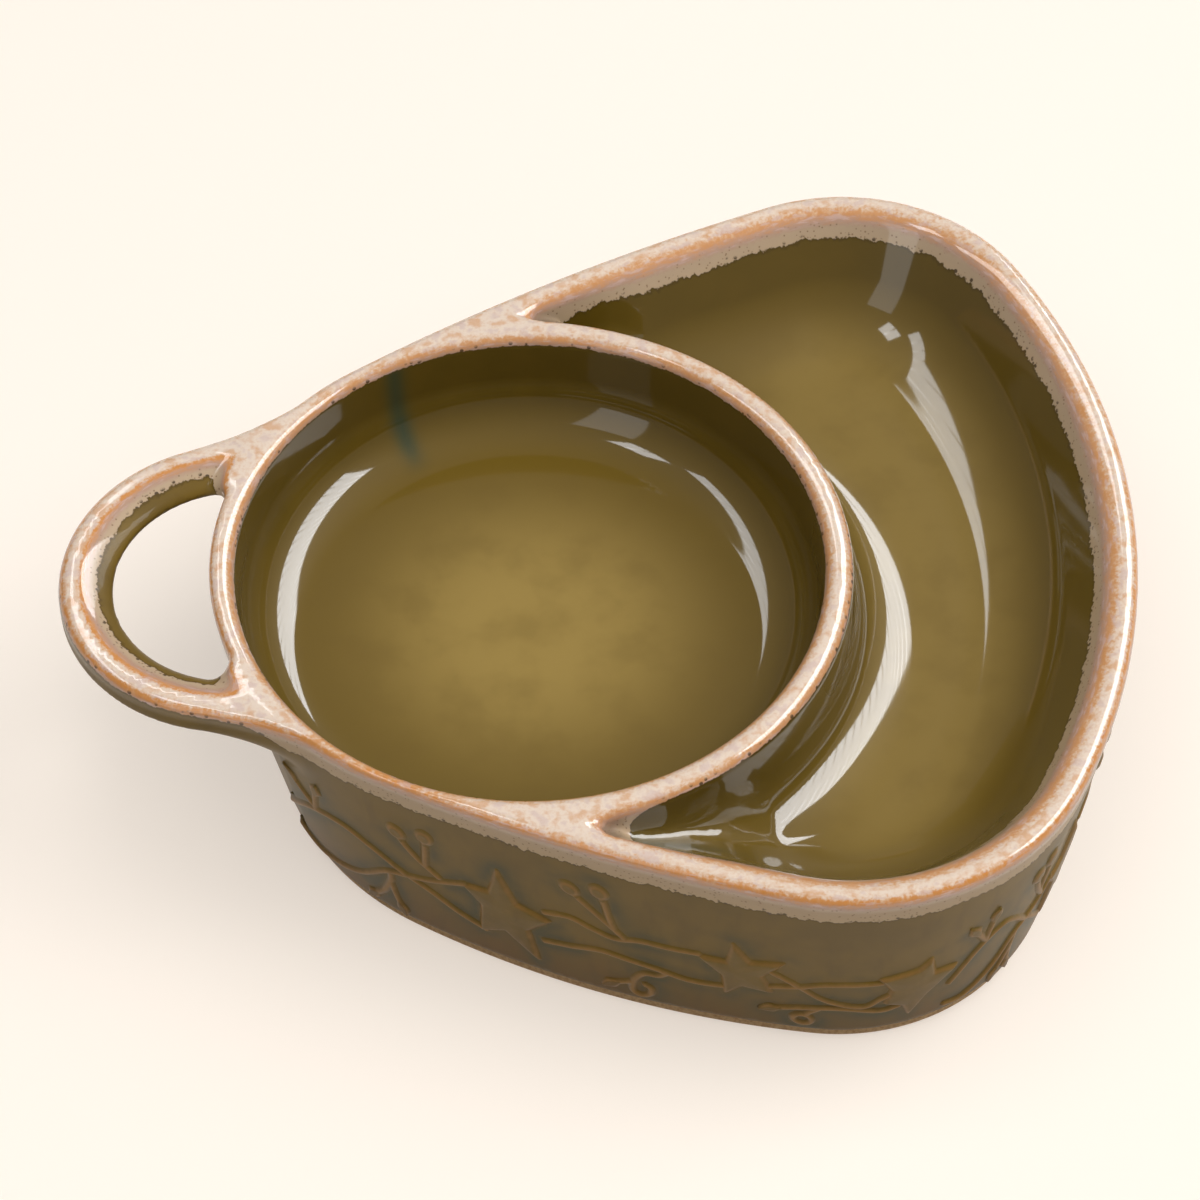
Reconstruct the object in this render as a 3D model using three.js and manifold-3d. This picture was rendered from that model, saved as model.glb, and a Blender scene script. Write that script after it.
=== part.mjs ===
// Divided serving dish in glazed stoneware: a round bowl, a crescent tray that wraps one side of it, and a
// loop handle on the other side. Built as a potter builds it: foot ring, outer wall, base slab, floors,
// dividing wall, lips, handle, and sprigs of stars and vine pressed in moulds and stuck to the wall.
// Millimetres, +Z up. The plan is drawn around the centre of the bowl, and the finished dish is then moved
// so that the origin lies in the middle of its underside.

import * as THREE from 'three';
import { mergeVertices } from 'three/addons/utils/BufferGeometryUtils.js';
import Module from 'manifold-3d';

// Plan of the outer rim, on its centre line: three circles joined by three long arcs that touch them.
const BOWL_END = { x: -3.1, y: 0.9, r: 61.8 };
const NEAR_CORNER = { x: 62.8, y: -38.7, r: 50.9 };
const FAR_CORNER = { x: 73.7, y: 59.7, r: 41.6 };
const NEAR_FLANK_R = 396;
const END_R = 151;
const FAR_FLANK_R = 484;

// Heights. The wall stands on the foot ring, and the base slab hangs in it above the hollow underside.
const FOOT_HEIGHT = 2.5;
const WALL_HEIGHT = 51.5;
const LIP_HEIGHT = 6;
const SLAB_RISE = 17.5;
const SLAB_HEIGHT = 7;
const BOWL_FLOOR_RISE = 8.5;
const TRAY_FLOOR_RISE = 8.5;

// Outer wall. Offsets are measured inwards from the centre line of the rim.
const LIP_WIDTH = 6.1;
const LIP_CREST_WIDTH = 1.8;
const LIP_SHOULDER = 1.9;
const WALL_SETBACK = 0.65;
const WALL_TOP_THICKNESS = 5.2;
const WALL_FOOT_THICKNESS = 6;
const FOOT_INSET = 4.5;

// Plan of the foot, which is rounder than the rim: its bowl end stands in and swells, and its flanks bow out.
const FOOT_END_SHIFT = 9.4;
const FOOT_END_SWELL = 5.5;
const FOOT_NEAR_FLANK_R = 230;
const FOOT_FAR_FLANK_R = 280;

// Foot ring, set back a step from the wall's outer face.
const FOOT_STEP = 1;
const FOOT_WIDTH = 5;

// Bowl: a round dividing wall whose circle runs out into the outer wall at both ends.
const BOWL_RIM_R = 65.5;
const DIVIDER_TOP_THICKNESS = 5.6;
const DIVIDER_FOOT_THICKNESS = 8.5;
const DIVIDER_FOOT_LEAN = 1.2;
const BOWL_COVE_R = 11;
const BOWL_COVE_START = 10.5;
const BOWL_SLOPE = 3.7;
const BOWL_LINER_DROP = 2;

// Coves of the tray, against the outer wall and against the bowl.
const TRAY_COVE_R = 22;
const TRAY_COVE_START = 17.5;
const BOWL_FOOT_COVE_R = 11;
const COVE_EDGE = 0.7;

// Loop handle: part of a flat ring, level with the rim, whose top falls from a crest near its outer edge
// to a rounded nose around the finger hole. Its centre lies a little inside the rim's centre line at the
// bowl end, and a little to one side of the bowl end's middle. A web rounds each corner against the wall.
const HANDLE_INSIDE = 2.9;
const HANDLE_SIDE = -1.4;
const HANDLE_OUTER_R = 37.4;
const HANDLE_CREST_R = 33.4;
const HANDLE_HOLE_R = 25.4;
const HANDLE_DEPTH = 7.6;
const HANDLE_DROP = 0.6;
const HANDLE_SHOULDER = 1.6;
const HANDLE_SLOPE_R = 29;
const HANDLE_SLOPE_DROP = 1.5;
const HANDLE_NOSE_DROP = 4;
const HANDLE_NOSE_DEPTH = 3.6;
const HANDLE_WEB_R = 13;

// Relief. Star places are distances along the wall, from the middle of the bowl end past the near flank,
// the broad end and the far flank. A vine starts and ends clear of the handle, and stops short of the
// middle of each star, and its band reaches a little over the berries' middles. Strands smaller than a
// crumb, in cubic millimetres, break off beside a star.
const STAR_POINTS = 5;
const STAR_PLACES = [91, 142, 181, 227, 273, 319, 365, 411, 457, 503];
const STAR_HEIGHT = 24;
const STAR_RADIUS = 10.5;
const STAR_WAIST = 4.6;
const STAR_TILT = 0.12;
const STAR_RELIEF = 1.7;
const STAR_EDGE = 0.8;
const STAR_JOINT = 0.9;
const VINE_BAND = 40;
const VINE_START = 41;
const VINE_TAIL = 38;
const VINE_WIDTH = 2;
const VINE_RELIEF = 1;
const STAR_REACH = 7.5;
const BERRY_R = 2.5;
const BERRY_RELIEF = 1.4;
const BERRY_CROWN = 0.55;
const BUD_LENGTH = 7;
const BUD_WIDTH = 3.4;
const SPRIG_GAP = 0.3;
const SPRIG_CRUMB = 3;

// Clearance between two pieces that are stuck together.
const JOINT_GAP = 0.3;

// Steps along the six arcs of the outline, around the bowl and the handle, in the small rounds, and along
// a vine.
const ARC_STEPS = [18, 8, 12, 10, 12, 8];
const ROUND_STEPS = 64;
const COVE_STEPS = 4;
const SHOULDER_STEPS = 2;
const WEB_STEPS = 5;
const VINE_STEP = 5;
const VINE_LEAST_STEPS = 2;
const BERRY_STEPS = 6;

// Levels worked out from the heights.
const slabFoot = FOOT_HEIGHT + SLAB_RISE;
const slabTop = slabFoot + SLAB_HEIGHT;
const wallTop = FOOT_HEIGHT + WALL_HEIGHT;
const dividerHeight = wallTop - slabTop;
const rimTop = wallTop + LIP_HEIGHT;
const bowlFloor = slabTop + BOWL_FLOOR_RISE;
const trayFloor = slabTop + TRAY_FLOOR_RISE;
const lipHalf = LIP_WIDTH / 2;
const crestHalf = LIP_CREST_WIDTH / 2;
const handleAt = { x: BOWL_END.x - BOWL_END.r + HANDLE_INSIDE, y: BOWL_END.y + HANDLE_SIDE };
const handleTop = rimTop - HANDLE_DROP;
const handleFoot = handleTop - HANDLE_DEPTH;

const wasm = await Module();
wasm.setup();

const glaze = { color: 0x6b5a22, roughness: 0.2, metalness: 0 };
const rimGlaze = { color: 0xd9c2ae, roughness: 0.25, metalness: 0 };
const bareClay = { color: 0xc9a987, roughness: 0.85, metalness: 0 };
const reliefGlaze = { color: 0x8a6a2c, roughness: 0.25, metalness: 0 };

const dish = new THREE.Group();

function addPiece(name, geometry, finish) {
  const piece = new THREE.Mesh(geometry, new THREE.MeshStandardMaterial(finish));
  piece.name = name;
  dish.add(piece);
}

// Closed triangles as a solid, and back.
function toSolid(geometry) {
  const bare = geometry.clone();
  bare.deleteAttribute('normal');
  bare.deleteAttribute('uv');
  const merged = mergeVertices(bare, 1e-4);
  const vertProperties = new Float32Array(merged.attributes.position.array);
  const triVerts = new Uint32Array(merged.index.array);
  return new wasm.Manifold(new wasm.Mesh({ numProp: 3, vertProperties, triVerts }));
}

function toGeometry(solid) {
  const mesh = solid.getMesh();
  const geometry = new THREE.BufferGeometry();
  geometry.setAttribute('position', new THREE.BufferAttribute(new Float32Array(mesh.vertProperties), 3));
  geometry.setIndex(Array.from(mesh.triVerts));
  geometry.computeVertexNormals();
  return geometry;
}

function fromTriangles(points, triangles) {
  const geometry = new THREE.BufferGeometry();
  geometry.setAttribute('position', new THREE.Float32BufferAttribute(points.flat(), 3));
  let volume = 0;
  for (const [a, b, c] of triangles) {
    const [p, q, r] = [points[a], points[b], points[c]];
    volume += p[0] * (q[1] * r[2] - q[2] * r[1]);
    volume += p[1] * (q[2] * r[0] - q[0] * r[2]);
    volume += p[2] * (q[0] * r[1] - q[1] * r[0]);
  }
  const outward = volume > 0 ? triangles : triangles.map(([a, b, c]) => [a, c, b]);
  geometry.setIndex(outward.flat());
  geometry.computeVertexNormals();
  return geometry;
}

// Centre of the arc of radius r that touches two circles and holds both of them inside it.
function touchingCentre(first, second, r) {
  const dx = second.x - first.x;
  const dy = second.y - first.y;
  const apart = Math.hypot(dx, dy);
  const toFirst = r - first.r;
  const toSecond = r - second.r;
  const along = (toFirst ** 2 - toSecond ** 2 + apart ** 2) / (2 * apart);
  const across = Math.sqrt(toFirst ** 2 - along ** 2);
  return {
    x: first.x + (dx * along - dy * across) / apart,
    y: first.y + (dy * along + dx * across) / apart,
    r,
  };
}

function angleFrom(centre, point) {
  return Math.atan2(point.y - centre.y, point.x - centre.x);
}

function angleAfter(angle, start) {
  let later = angle;
  while (later < start) {
    later += 2 * Math.PI;
  }
  return later;
}

// The six arcs of the outline, counterclockwise from the far end of the bowl-end arc. The share runs from the
// rim's outline at 0 to the foot's at 1.
function outlineArcs(share) {
  const bowlEnd = {
    x: BOWL_END.x + FOOT_END_SHIFT * share,
    y: BOWL_END.y,
    r: BOWL_END.r + FOOT_END_SWELL * share,
  };
  const circles = [bowlEnd, NEAR_CORNER, FAR_CORNER];
  const bow = (rim, foot) => 1 / ((1 - share) / rim + share / foot);
  const radii = [bow(NEAR_FLANK_R, FOOT_NEAR_FLANK_R), END_R, bow(FAR_FLANK_R, FOOT_FAR_FLANK_R)];
  const bridges = radii.map((r, i) => touchingCentre(circles[i], circles[(i + 1) % 3], r));
  const arcs = [];
  circles.forEach((circle, i) => {
    const before = bridges[(i + 2) % 3];
    const after = bridges[i];
    const start = angleFrom(before, circle);
    const end = angleAfter(angleFrom(after, circle), start);
    const last = angleAfter(angleFrom(after, circles[(i + 1) % 3]), end);
    arcs.push({ ...circle, start, end });
    arcs.push({ ...after, start: end, end: last });
  });
  return arcs;
}

function pointOnArc(arc, part, offset) {
  const angle = arc.start + (arc.end - arc.start) * part;
  const r = arc.r - offset;
  return [arc.x + r * Math.cos(angle), arc.y + r * Math.sin(angle)];
}

function ring(offset, z) {
  const points = [];
  outlineArcs(taper(Math.min(z, wallTop))).forEach((arc, i) => {
    for (let step = 0; step < ARC_STEPS[i]; step += 1) {
      const [x, y] = pointOnArc(arc, step / ARC_STEPS[i], offset);
      points.push([x, y, z]);
    }
  });
  return points;
}

// Outer and inner faces of the wall at a height: both lean inwards towards the foot.
function taper(z) {
  return (wallTop - z) / wallTop;
}

function outerFace(z) {
  const top = WALL_SETBACK - lipHalf;
  return top + (FOOT_INSET - top) * taper(z);
}

function innerFace(z) {
  const down = (wallTop - z) / WALL_HEIGHT;
  return outerFace(z) + WALL_TOP_THICKNESS + (WALL_FOOT_THICKNESS - WALL_TOP_THICKNESS) * down;
}

// A section of [offset, height] points carried once around the outline.
function sweepOutline(section) {
  const rings = section.map(([offset, z]) => ring(offset, z));
  const count = rings[0].length;
  const triangles = [];
  rings.forEach((_, i) => {
    const next = (i + 1) % rings.length;
    for (let j = 0; j < count; j += 1) {
      const k = (j + 1) % count;
      triangles.push([i * count + j, i * count + k, next * count + k]);
      triangles.push([i * count + j, next * count + k, next * count + j]);
    }
  });
  return fromTriangles(rings.flat(), triangles);
}

// A solid stacked from outline rings, closed at the bottom and at the top.
function stackOutline(levels) {
  const rings = levels.map(([offset, z]) => ring(offset, z));
  const count = rings[0].length;
  const points = rings.flat();
  const triangles = [];
  for (let i = 0; i + 1 < rings.length; i += 1) {
    for (let j = 0; j < count; j += 1) {
      const k = (j + 1) % count;
      triangles.push([i * count + j, i * count + k, (i + 1) * count + k]);
      triangles.push([i * count + j, (i + 1) * count + k, (i + 1) * count + j]);
    }
  }
  const lastRing = (rings.length - 1) * count;
  const middle = (NEAR_CORNER.x + BOWL_END.x) / 2;
  points.push([middle, 0, levels[0][1]], [middle, 0, levels[levels.length - 1][1]]);
  for (let j = 0; j < count; j += 1) {
    const k = (j + 1) % count;
    triangles.push([points.length - 2, k, j]);
    triangles.push([points.length - 1, lastRing + j, lastRing + k]);
  }
  return fromTriangles(points, triangles);
}

// A section of [radius, height] points turned around an upright axis, the bowl's unless another is given.
function turn(section, axis = { x: 0, y: 0 }) {
  const outline = section.map(([r, z]) => new THREE.Vector2(r, z));
  const geometry = new THREE.LatheGeometry(outline, ROUND_STEPS);
  geometry.rotateX(Math.PI / 2);
  geometry.translate(axis.x, axis.y, 0);
  const solid = toSolid(geometry);
  return solid.volume() < 0 ? toSolid(flipped(geometry)) : solid;
}

function flipped(geometry) {
  const turned = geometry.clone();
  const index = Array.from(turned.index.array);
  for (let i = 0; i < index.length; i += 3) {
    [index[i + 1], index[i + 2]] = [index[i + 2], index[i + 1]];
  }
  turned.setIndex(index);
  return turned;
}

// A quarter-round cove from a wall down to a floor: [distance from the wall, height above the floor].
function cove(r) {
  const points = [];
  for (let step = 0; step <= COVE_STEPS; step += 1) {
    const angle = (step / COVE_STEPS) * (Math.PI / 2);
    points.push([r * (1 - Math.cos(angle)), r * (1 - Math.sin(angle))]);
  }
  return points;
}

// Foot ring: the bare clay on which the dish stands.
function footRing() {
  const outer = outerFace(FOOT_HEIGHT) + FOOT_STEP;
  const inner = outer + FOOT_WIDTH;
  return sweepOutline([[outer, 0], [outer, FOOT_HEIGHT], [inner, FOOT_HEIGHT], [inner, 0]]);
}

// Outer wall, with rings where the base slab meets it.
function outerWall() {
  const levels = [FOOT_HEIGHT, slabFoot, slabTop, wallTop];
  const outer = levels.map((z) => [outerFace(z), z]);
  const inner = levels.map((z) => [innerFace(z), z]).reverse();
  return sweepOutline([...outer, ...inner]);
}

// Base slab: a plate that fills the wall from side to side.
function baseSlab() {
  return stackOutline([
    [innerFace(slabFoot) + JOINT_GAP, slabFoot],
    [innerFace(slabTop) + JOINT_GAP, slabTop],
  ]);
}

// Section of a lip: a flat crest, and on each side a rounded shoulder and a straight face.
function lipSection() {
  const half = [];
  for (let step = 0; step <= SHOULDER_STEPS; step += 1) {
    const angle = (step / SHOULDER_STEPS) * (Math.PI / 2);
    const across = crestHalf + (lipHalf - crestHalf) * Math.sin(angle);
    half.push([across, rimTop - LIP_SHOULDER * (1 - Math.cos(angle))]);
  }
  half.push([lipHalf, wallTop]);
  const mirrored = half.map(([across, z]) => [-across, z]).reverse();
  return [...mirrored, ...half];
}

function outerLip() {
  return sweepOutline(lipSection());
}

// Everything inside the outer wall, less the joint: what the wall leaves for the floors and the divider.
function roomInside() {
  return toSolid(stackOutline([
    [innerFace(slabTop) + JOINT_GAP, slabTop],
    [innerFace(wallTop) + JOINT_GAP, wallTop],
  ]));
}

function dividerOuter(z) {
  const top = BOWL_RIM_R + DIVIDER_TOP_THICKNESS / 2;
  const foot = BOWL_RIM_R - DIVIDER_TOP_THICKNESS / 2 - DIVIDER_FOOT_LEAN + DIVIDER_FOOT_THICKNESS;
  return top + ((foot - top) * (wallTop - z)) / dividerHeight;
}

function dividerInner(z) {
  return BOWL_RIM_R - DIVIDER_TOP_THICKNESS / 2 - (DIVIDER_FOOT_LEAN * (wallTop - z)) / dividerHeight;
}

// Dividing wall: the part of a round wall that stands inside the outer wall.
function bowlDivider() {
  const round = turn([
    [dividerInner(slabTop), slabTop],
    [dividerOuter(slabTop), slabTop],
    [dividerOuter(wallTop), wallTop],
    [dividerInner(wallTop), wallTop],
    [dividerInner(slabTop), slabTop],
  ]);
  return toGeometry(round.intersect(roomInside()));
}

function dividerLip() {
  const section = lipSection().map(([across, z]) => [BOWL_RIM_R + across, z]);
  const round = turn([...section.reverse(), section[0]]);
  const room = toSolid(stackOutline([
    [lipHalf + JOINT_GAP, wallTop],
    [lipHalf + JOINT_GAP, rimTop],
  ]));
  return toGeometry(round.intersect(room));
}

// Bowl floor: a thick saucer that fills the bowl below its floor, with a sloped side and a cove.
function bowlLiner() {
  const linerTop = wallTop - BOWL_LINER_DROP;
  const slopeFoot = dividerInner(linerTop) - JOINT_GAP - COVE_EDGE - BOWL_SLOPE;
  const coved = cove(BOWL_COVE_R).map(([across, up]) => [
    slopeFoot - across,
    bowlFloor + (up * BOWL_COVE_START) / BOWL_COVE_R,
  ]);
  const section = [
    [0, slabTop],
    [dividerInner(slabTop) - JOINT_GAP, slabTop],
    [dividerInner(linerTop) - JOINT_GAP, linerTop],
    [dividerInner(linerTop) - JOINT_GAP - COVE_EDGE, linerTop],
    ...coved,
    [0, bowlFloor],
  ];
  return toGeometry(turn(section).intersect(roomInside()));
}

// Tray floor: a crescent that fills the tray below its floor, with a cove along both of its walls.
function trayLiner() {
  const coveTop = trayFloor + TRAY_COVE_START;
  const edge = innerFace(coveTop) + JOINT_GAP + COVE_EDGE;
  const body = toSolid(stackOutline([
    [innerFace(slabTop) + JOINT_GAP, slabTop],
    [innerFace(coveTop) + JOINT_GAP, coveTop],
  ]));
  const coved = cove(TRAY_COVE_R).map(([across, up]) => [
    edge + across,
    trayFloor + (up * TRAY_COVE_START) / TRAY_COVE_R,
  ]).reverse();
  const hollow = toSolid(stackOutline([...coved, [edge, rimTop]]));
  const footEdge = dividerOuter(trayFloor + BOWL_FOOT_COVE_R) + JOINT_GAP + COVE_EDGE;
  const flare = cove(BOWL_FOOT_COVE_R).map(([across, up]) => [footEdge + across, trayFloor + up]).reverse();
  const bowlFoot = turn([
    [0, slabTop],
    [flare[0][0], slabTop],
    ...flare,
    [0, trayFloor + BOWL_FOOT_COVE_R],
  ]);
  const bowl = turn([
    [0, slabTop - JOINT_GAP],
    [dividerOuter(slabTop) + JOINT_GAP, slabTop - JOINT_GAP],
    [dividerOuter(rimTop) + JOINT_GAP, rimTop],
    [0, rimTop],
  ]);
  return toGeometry(body.subtract(hollow.subtract(bowlFoot)).subtract(bowl));
}

// A point at a distance from one point in the direction of another.
function towards(from, to, distance) {
  const apart = Math.hypot(to.x - from.x, to.y - from.y);
  const share = distance / apart;
  return { x: from.x + (to.x - from.x) * share, y: from.y + (to.y - from.y) * share };
}

// Web in one corner between the handle and the rim, rounded by an arc that touches both of them.
function handleWeb(side) {
  const rimR = BOWL_END.r + lipHalf;
  const toHandle = HANDLE_OUTER_R + HANDLE_WEB_R;
  const toRim = rimR + HANDLE_WEB_R;
  const dx = BOWL_END.x - handleAt.x;
  const dy = BOWL_END.y - handleAt.y;
  const apart = Math.hypot(dx, dy);
  const along = (toHandle ** 2 - toRim ** 2 + apart ** 2) / (2 * apart);
  const across = side * Math.sqrt(toHandle ** 2 - along ** 2);
  const centre = {
    x: handleAt.x + (dx * along - dy * across) / apart,
    y: handleAt.y + (dy * along + dx * across) / apart,
  };
  const first = angleFrom(centre, handleAt);
  const last = angleFrom(centre, BOWL_END);
  const plan = [towards(handleAt, centre, HANDLE_CREST_R)];
  for (let step = 0; step <= WEB_STEPS; step += 1) {
    const angle = first + ((last - first) * step) / WEB_STEPS;
    plan.push({ x: centre.x + HANDLE_WEB_R * Math.cos(angle), y: centre.y + HANDLE_WEB_R * Math.sin(angle) });
  }
  plan.push(towards(BOWL_END, centre, rimR - LIP_WIDTH));
  const shape = new THREE.Shape(plan.map(({ x, y }) => new THREE.Vector2(x, y)));
  const depth = HANDLE_DEPTH - HANDLE_SHOULDER;
  const web = new THREE.ExtrudeGeometry(shape, { depth, bevelEnabled: false });
  web.translate(0, 0, handleFoot);
  return toSolid(web);
}

// Loop handle: the part of the ring and its webs that lies outside the outer wall and its lip.
function handleLoop() {
  const section = [
    [HANDLE_HOLE_R + HANDLE_NOSE_DEPTH, handleFoot],
    [HANDLE_OUTER_R - HANDLE_SHOULDER, handleFoot],
    [HANDLE_OUTER_R, handleFoot + HANDLE_SHOULDER],
    [HANDLE_OUTER_R, handleTop - HANDLE_SHOULDER],
    [HANDLE_CREST_R, handleTop],
    [HANDLE_SLOPE_R, handleTop - HANDLE_SLOPE_DROP],
    [HANDLE_HOLE_R, handleTop - HANDLE_NOSE_DROP],
  ];
  const turned = turn([...section, section[0]], handleAt);
  const wall = toSolid(stackOutline([
    [outerFace(0) - JOINT_GAP, 0],
    [outerFace(wallTop) - JOINT_GAP, wallTop - JOINT_GAP],
    [-lipHalf - JOINT_GAP, wallTop - JOINT_GAP],
    [-lipHalf - JOINT_GAP, rimTop + HANDLE_SHOULDER],
  ]));
  return toGeometry(turned.add(handleWeb(1)).add(handleWeb(-1)).subtract(wall));
}

// Distance along the rim's centre line from the middle of the bowl end, as an arc and a part of it.
const plainArcs = outlineArcs(0);
const arcLengths = plainArcs.map((arc) => arc.r * (arc.end - arc.start));
const outlineLength = arcLengths.reduce((sum, length) => sum + length, 0);
const bowlEndMiddle = BOWL_END.r * (angleAfter(Math.PI, plainArcs[0].start) - plainArcs[0].start);

function placeOnOutline(distance) {
  let left = (distance + bowlEndMiddle) % outlineLength;
  for (let i = 0; i < arcLengths.length; i += 1) {
    if (left <= arcLengths[i]) {
      return { index: i, part: left / arcLengths[i] };
    }
    left -= arcLengths[i];
  }
  return { index: 0, part: 0 };
}

// A point on the outer wall, standing out from its face by the given amount.
function onWall(distance, z, out) {
  const { index, part } = placeOnOutline(distance);
  const arc = outlineArcs(taper(z))[index];
  const [x, y] = pointOnArc(arc, part, outerFace(z) - out);
  return [x, y, z];
}

// A low dome on the wall over a closed outline of [distance, height] points. Each level is [share of the
// outline's reach from its middle, distance out of the wall], from the seat up to the level below the top.
function dome(outline, middle, levels, top) {
  const count = outline.length;
  const points = [];
  for (const [share, out] of levels) {
    for (const [d, z] of outline) {
      points.push(onWall(middle[0] + (d - middle[0]) * share, middle[1] + (z - middle[1]) * share, out));
    }
  }
  const seatMiddle = points.push(onWall(...middle, levels[0][1])) - 1;
  const topMiddle = points.push(onWall(...middle, top)) - 1;
  const triangles = [];
  for (let j = 0; j < count; j += 1) {
    const k = (j + 1) % count;
    const last = (levels.length - 1) * count;
    triangles.push([seatMiddle, j, k]);
    for (let low = 0; low < last; low += count) {
      triangles.push([low + j, low + count + j, low + k]);
      triangles.push([low + k, low + count + j, low + count + k]);
    }
    triangles.push([last + j, topMiddle, last + k]);
  }
  return fromTriangles(points, triangles);
}

function starOutline(distance, tilt, growth) {
  const outline = [];
  for (let corner = 0; corner < 2 * STAR_POINTS; corner += 1) {
    const r = (corner % 2 === 0 ? STAR_RADIUS : STAR_WAIST) + growth;
    const angle = Math.PI / 2 + tilt + (corner * Math.PI) / STAR_POINTS;
    outline.push([distance + r * Math.cos(angle), STAR_HEIGHT + r * Math.sin(angle)]);
  }
  return outline;
}

function star({ distance, tilt }) {
  const outline = starOutline(distance, tilt, 0);
  const seat = SPRIG_GAP;
  const levels = [[1, seat], [1, seat + STAR_EDGE]];
  return dome(outline, [distance, STAR_HEIGHT], levels, seat + STAR_RELIEF);
}

// The room that a star takes up on the wall, with a joint around it.
function starRoom({ distance, tilt }) {
  const outline = starOutline(distance, tilt, STAR_JOINT);
  const deep = 2 * STAR_RELIEF;
  return toSolid(dome(outline, [distance, STAR_HEIGHT], [[1, -deep], [1, deep]], deep));
}

function oval(middle, length, width, angle) {
  const outline = [];
  for (let step = 0; step < BERRY_STEPS; step += 1) {
    const around = (step / BERRY_STEPS) * 2 * Math.PI;
    const along = (length / 2) * Math.cos(around);
    const across = (width / 2) * Math.sin(around);
    outline.push([
      middle[0] + along * Math.cos(angle) - across * Math.sin(angle),
      middle[1] + along * Math.sin(angle) + across * Math.cos(angle),
    ]);
  }
  const top = SPRIG_GAP + BERRY_RELIEF;
  return toSolid(dome(outline, middle, [[1, SPRIG_GAP], [BERRY_CROWN, top]], top));
}

// A stem on the wall along a smooth curve through [distance, height] points, ridged along its middle.
function stem(points, width) {
  const curve = new THREE.SplineCurve(points.map(([d, z]) => new THREE.Vector2(d, z)));
  const steps = Math.max(VINE_LEAST_STEPS, Math.ceil(curve.getLength() / VINE_STEP));
  const verts = [];
  const triangles = [];
  for (let step = 0; step <= steps; step += 1) {
    const at = curve.getPoint(step / steps);
    const along = curve.getTangent(step / steps);
    const side = [(-along.y * width) / 2, (along.x * width) / 2];
    verts.push(onWall(at.x - side[0], at.y - side[1], SPRIG_GAP));
    verts.push(onWall(at.x, at.y, SPRIG_GAP + VINE_RELIEF));
    verts.push(onWall(at.x + side[0], at.y + side[1], SPRIG_GAP));
  }
  for (let step = 0; step < steps; step += 1) {
    for (let corner = 0; corner < 3; corner += 1) {
      const a = step * 3 + corner;
      const b = step * 3 + ((corner + 1) % 3);
      triangles.push([a, b, b + 3], [a, b + 3, a + 3]);
    }
  }
  const end = steps * 3;
  triangles.push([0, 2, 1], [end, end + 1, end + 2]);
  return toSolid(fromTriangles(verts, triangles));
}

// Three bays of vine, each between two stars. Points are [part of the bay, part of the vine's band].
const CROSSED_BAY = {
  stems: [[[0, 0.575], [0.27, 0.7], [0.55, 0.562], [1, 0.35]], [[0, 0.2], [0.25, 0.3], [0.55, 0.562], [1, 0.7]]],
  twigs: [
    { from: [0.86, 0.662], to: [0.66, 0.988], end: 'berry' },
    { from: [0.86, 0.662], to: [0.8, 1.012], end: 'berry' },
    { from: [0.16, 0.67], to: [0.08, 0.925], end: 'bud' },
    { from: [0.46, 0.487], to: [0.42, 0.263], end: 'bud' },
    { from: [0.46, 0.487], to: [0.58, 0.225], end: 'bud' },
  ],
};
const PARALLEL_BAY = {
  stems: [[[0, 0.675], [0.4, 0.625], [1, 0.7]], [[0, 0.375], [0.35, 0.475], [0.65, 0.375], [1, 0.425]]],
  twigs: [
    { from: [0.46, 0.625], to: [0.2, 1.025], end: 'berry' },
    { from: [0.46, 0.625], to: [0.36, 1.05], end: 'berry' },
    { from: [0.66, 0.375], to: [0.4, 0.2], end: 'bud' },
  ],
};
const BRAIDED_BAY = {
  stems: [[[0, 0.55], [0.5, 0.575], [1, 0.6]], [[0, 0.725], [0.36, 0.5], [0.68, 0.35], [1, 0.525]]],
  twigs: [
    { from: [0.68, 0.35], to: [0.1, 0.275], end: 'bud' },
    { from: [0.52, 0.425], to: [0.42, 0.2], end: 'berry' },
  ],
};
const BAYS = [CROSSED_BAY, PARALLEL_BAY, BRAIDED_BAY];

function vineBay(bay, start, end) {
  const place = ([part, height]) => [start + part * (end - start), height * VINE_BAND];
  const solids = bay.stems.map((points) => stem(points.map(place), VINE_WIDTH));
  for (const twig of bay.twigs) {
    const from = place(twig.from);
    const to = place(twig.to);
    const angle = Math.atan2(to[1] - from[1], to[0] - from[0]);
    solids.push(stem([from, [(from[0] + to[0]) / 2, (from[1] + to[1]) / 2], to], VINE_WIDTH));
    const long = twig.end === 'bud' ? BUD_LENGTH : 2 * BERRY_R;
    const wide = twig.end === 'bud' ? BUD_WIDTH : 2 * BERRY_R;
    solids.push(oval(to, long, wide, angle));
  }
  return solids.reduce((sum, solid) => sum.add(solid));
}

addPiece('foot_ring', footRing(), bareClay);
addPiece('outer_wall', outerWall(), glaze);
addPiece('base_slab', baseSlab(), glaze);
addPiece('outer_lip', outerLip(), rimGlaze);
addPiece('bowl_divider', bowlDivider(), glaze);
addPiece('divider_lip', dividerLip(), rimGlaze);
addPiece('bowl_floor', bowlLiner(), glaze);
addPiece('tray_floor', trayLiner(), glaze);
addPiece('handle_loop', handleLoop(), glaze);

const stars = STAR_PLACES.map((distance, i) => ({ distance, tilt: i % 2 === 0 ? STAR_TILT : -STAR_TILT }));
stars.forEach((each, i) => {
  addPiece(`star_${i + 1}`, star(each), reliefGlaze);
});

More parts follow.
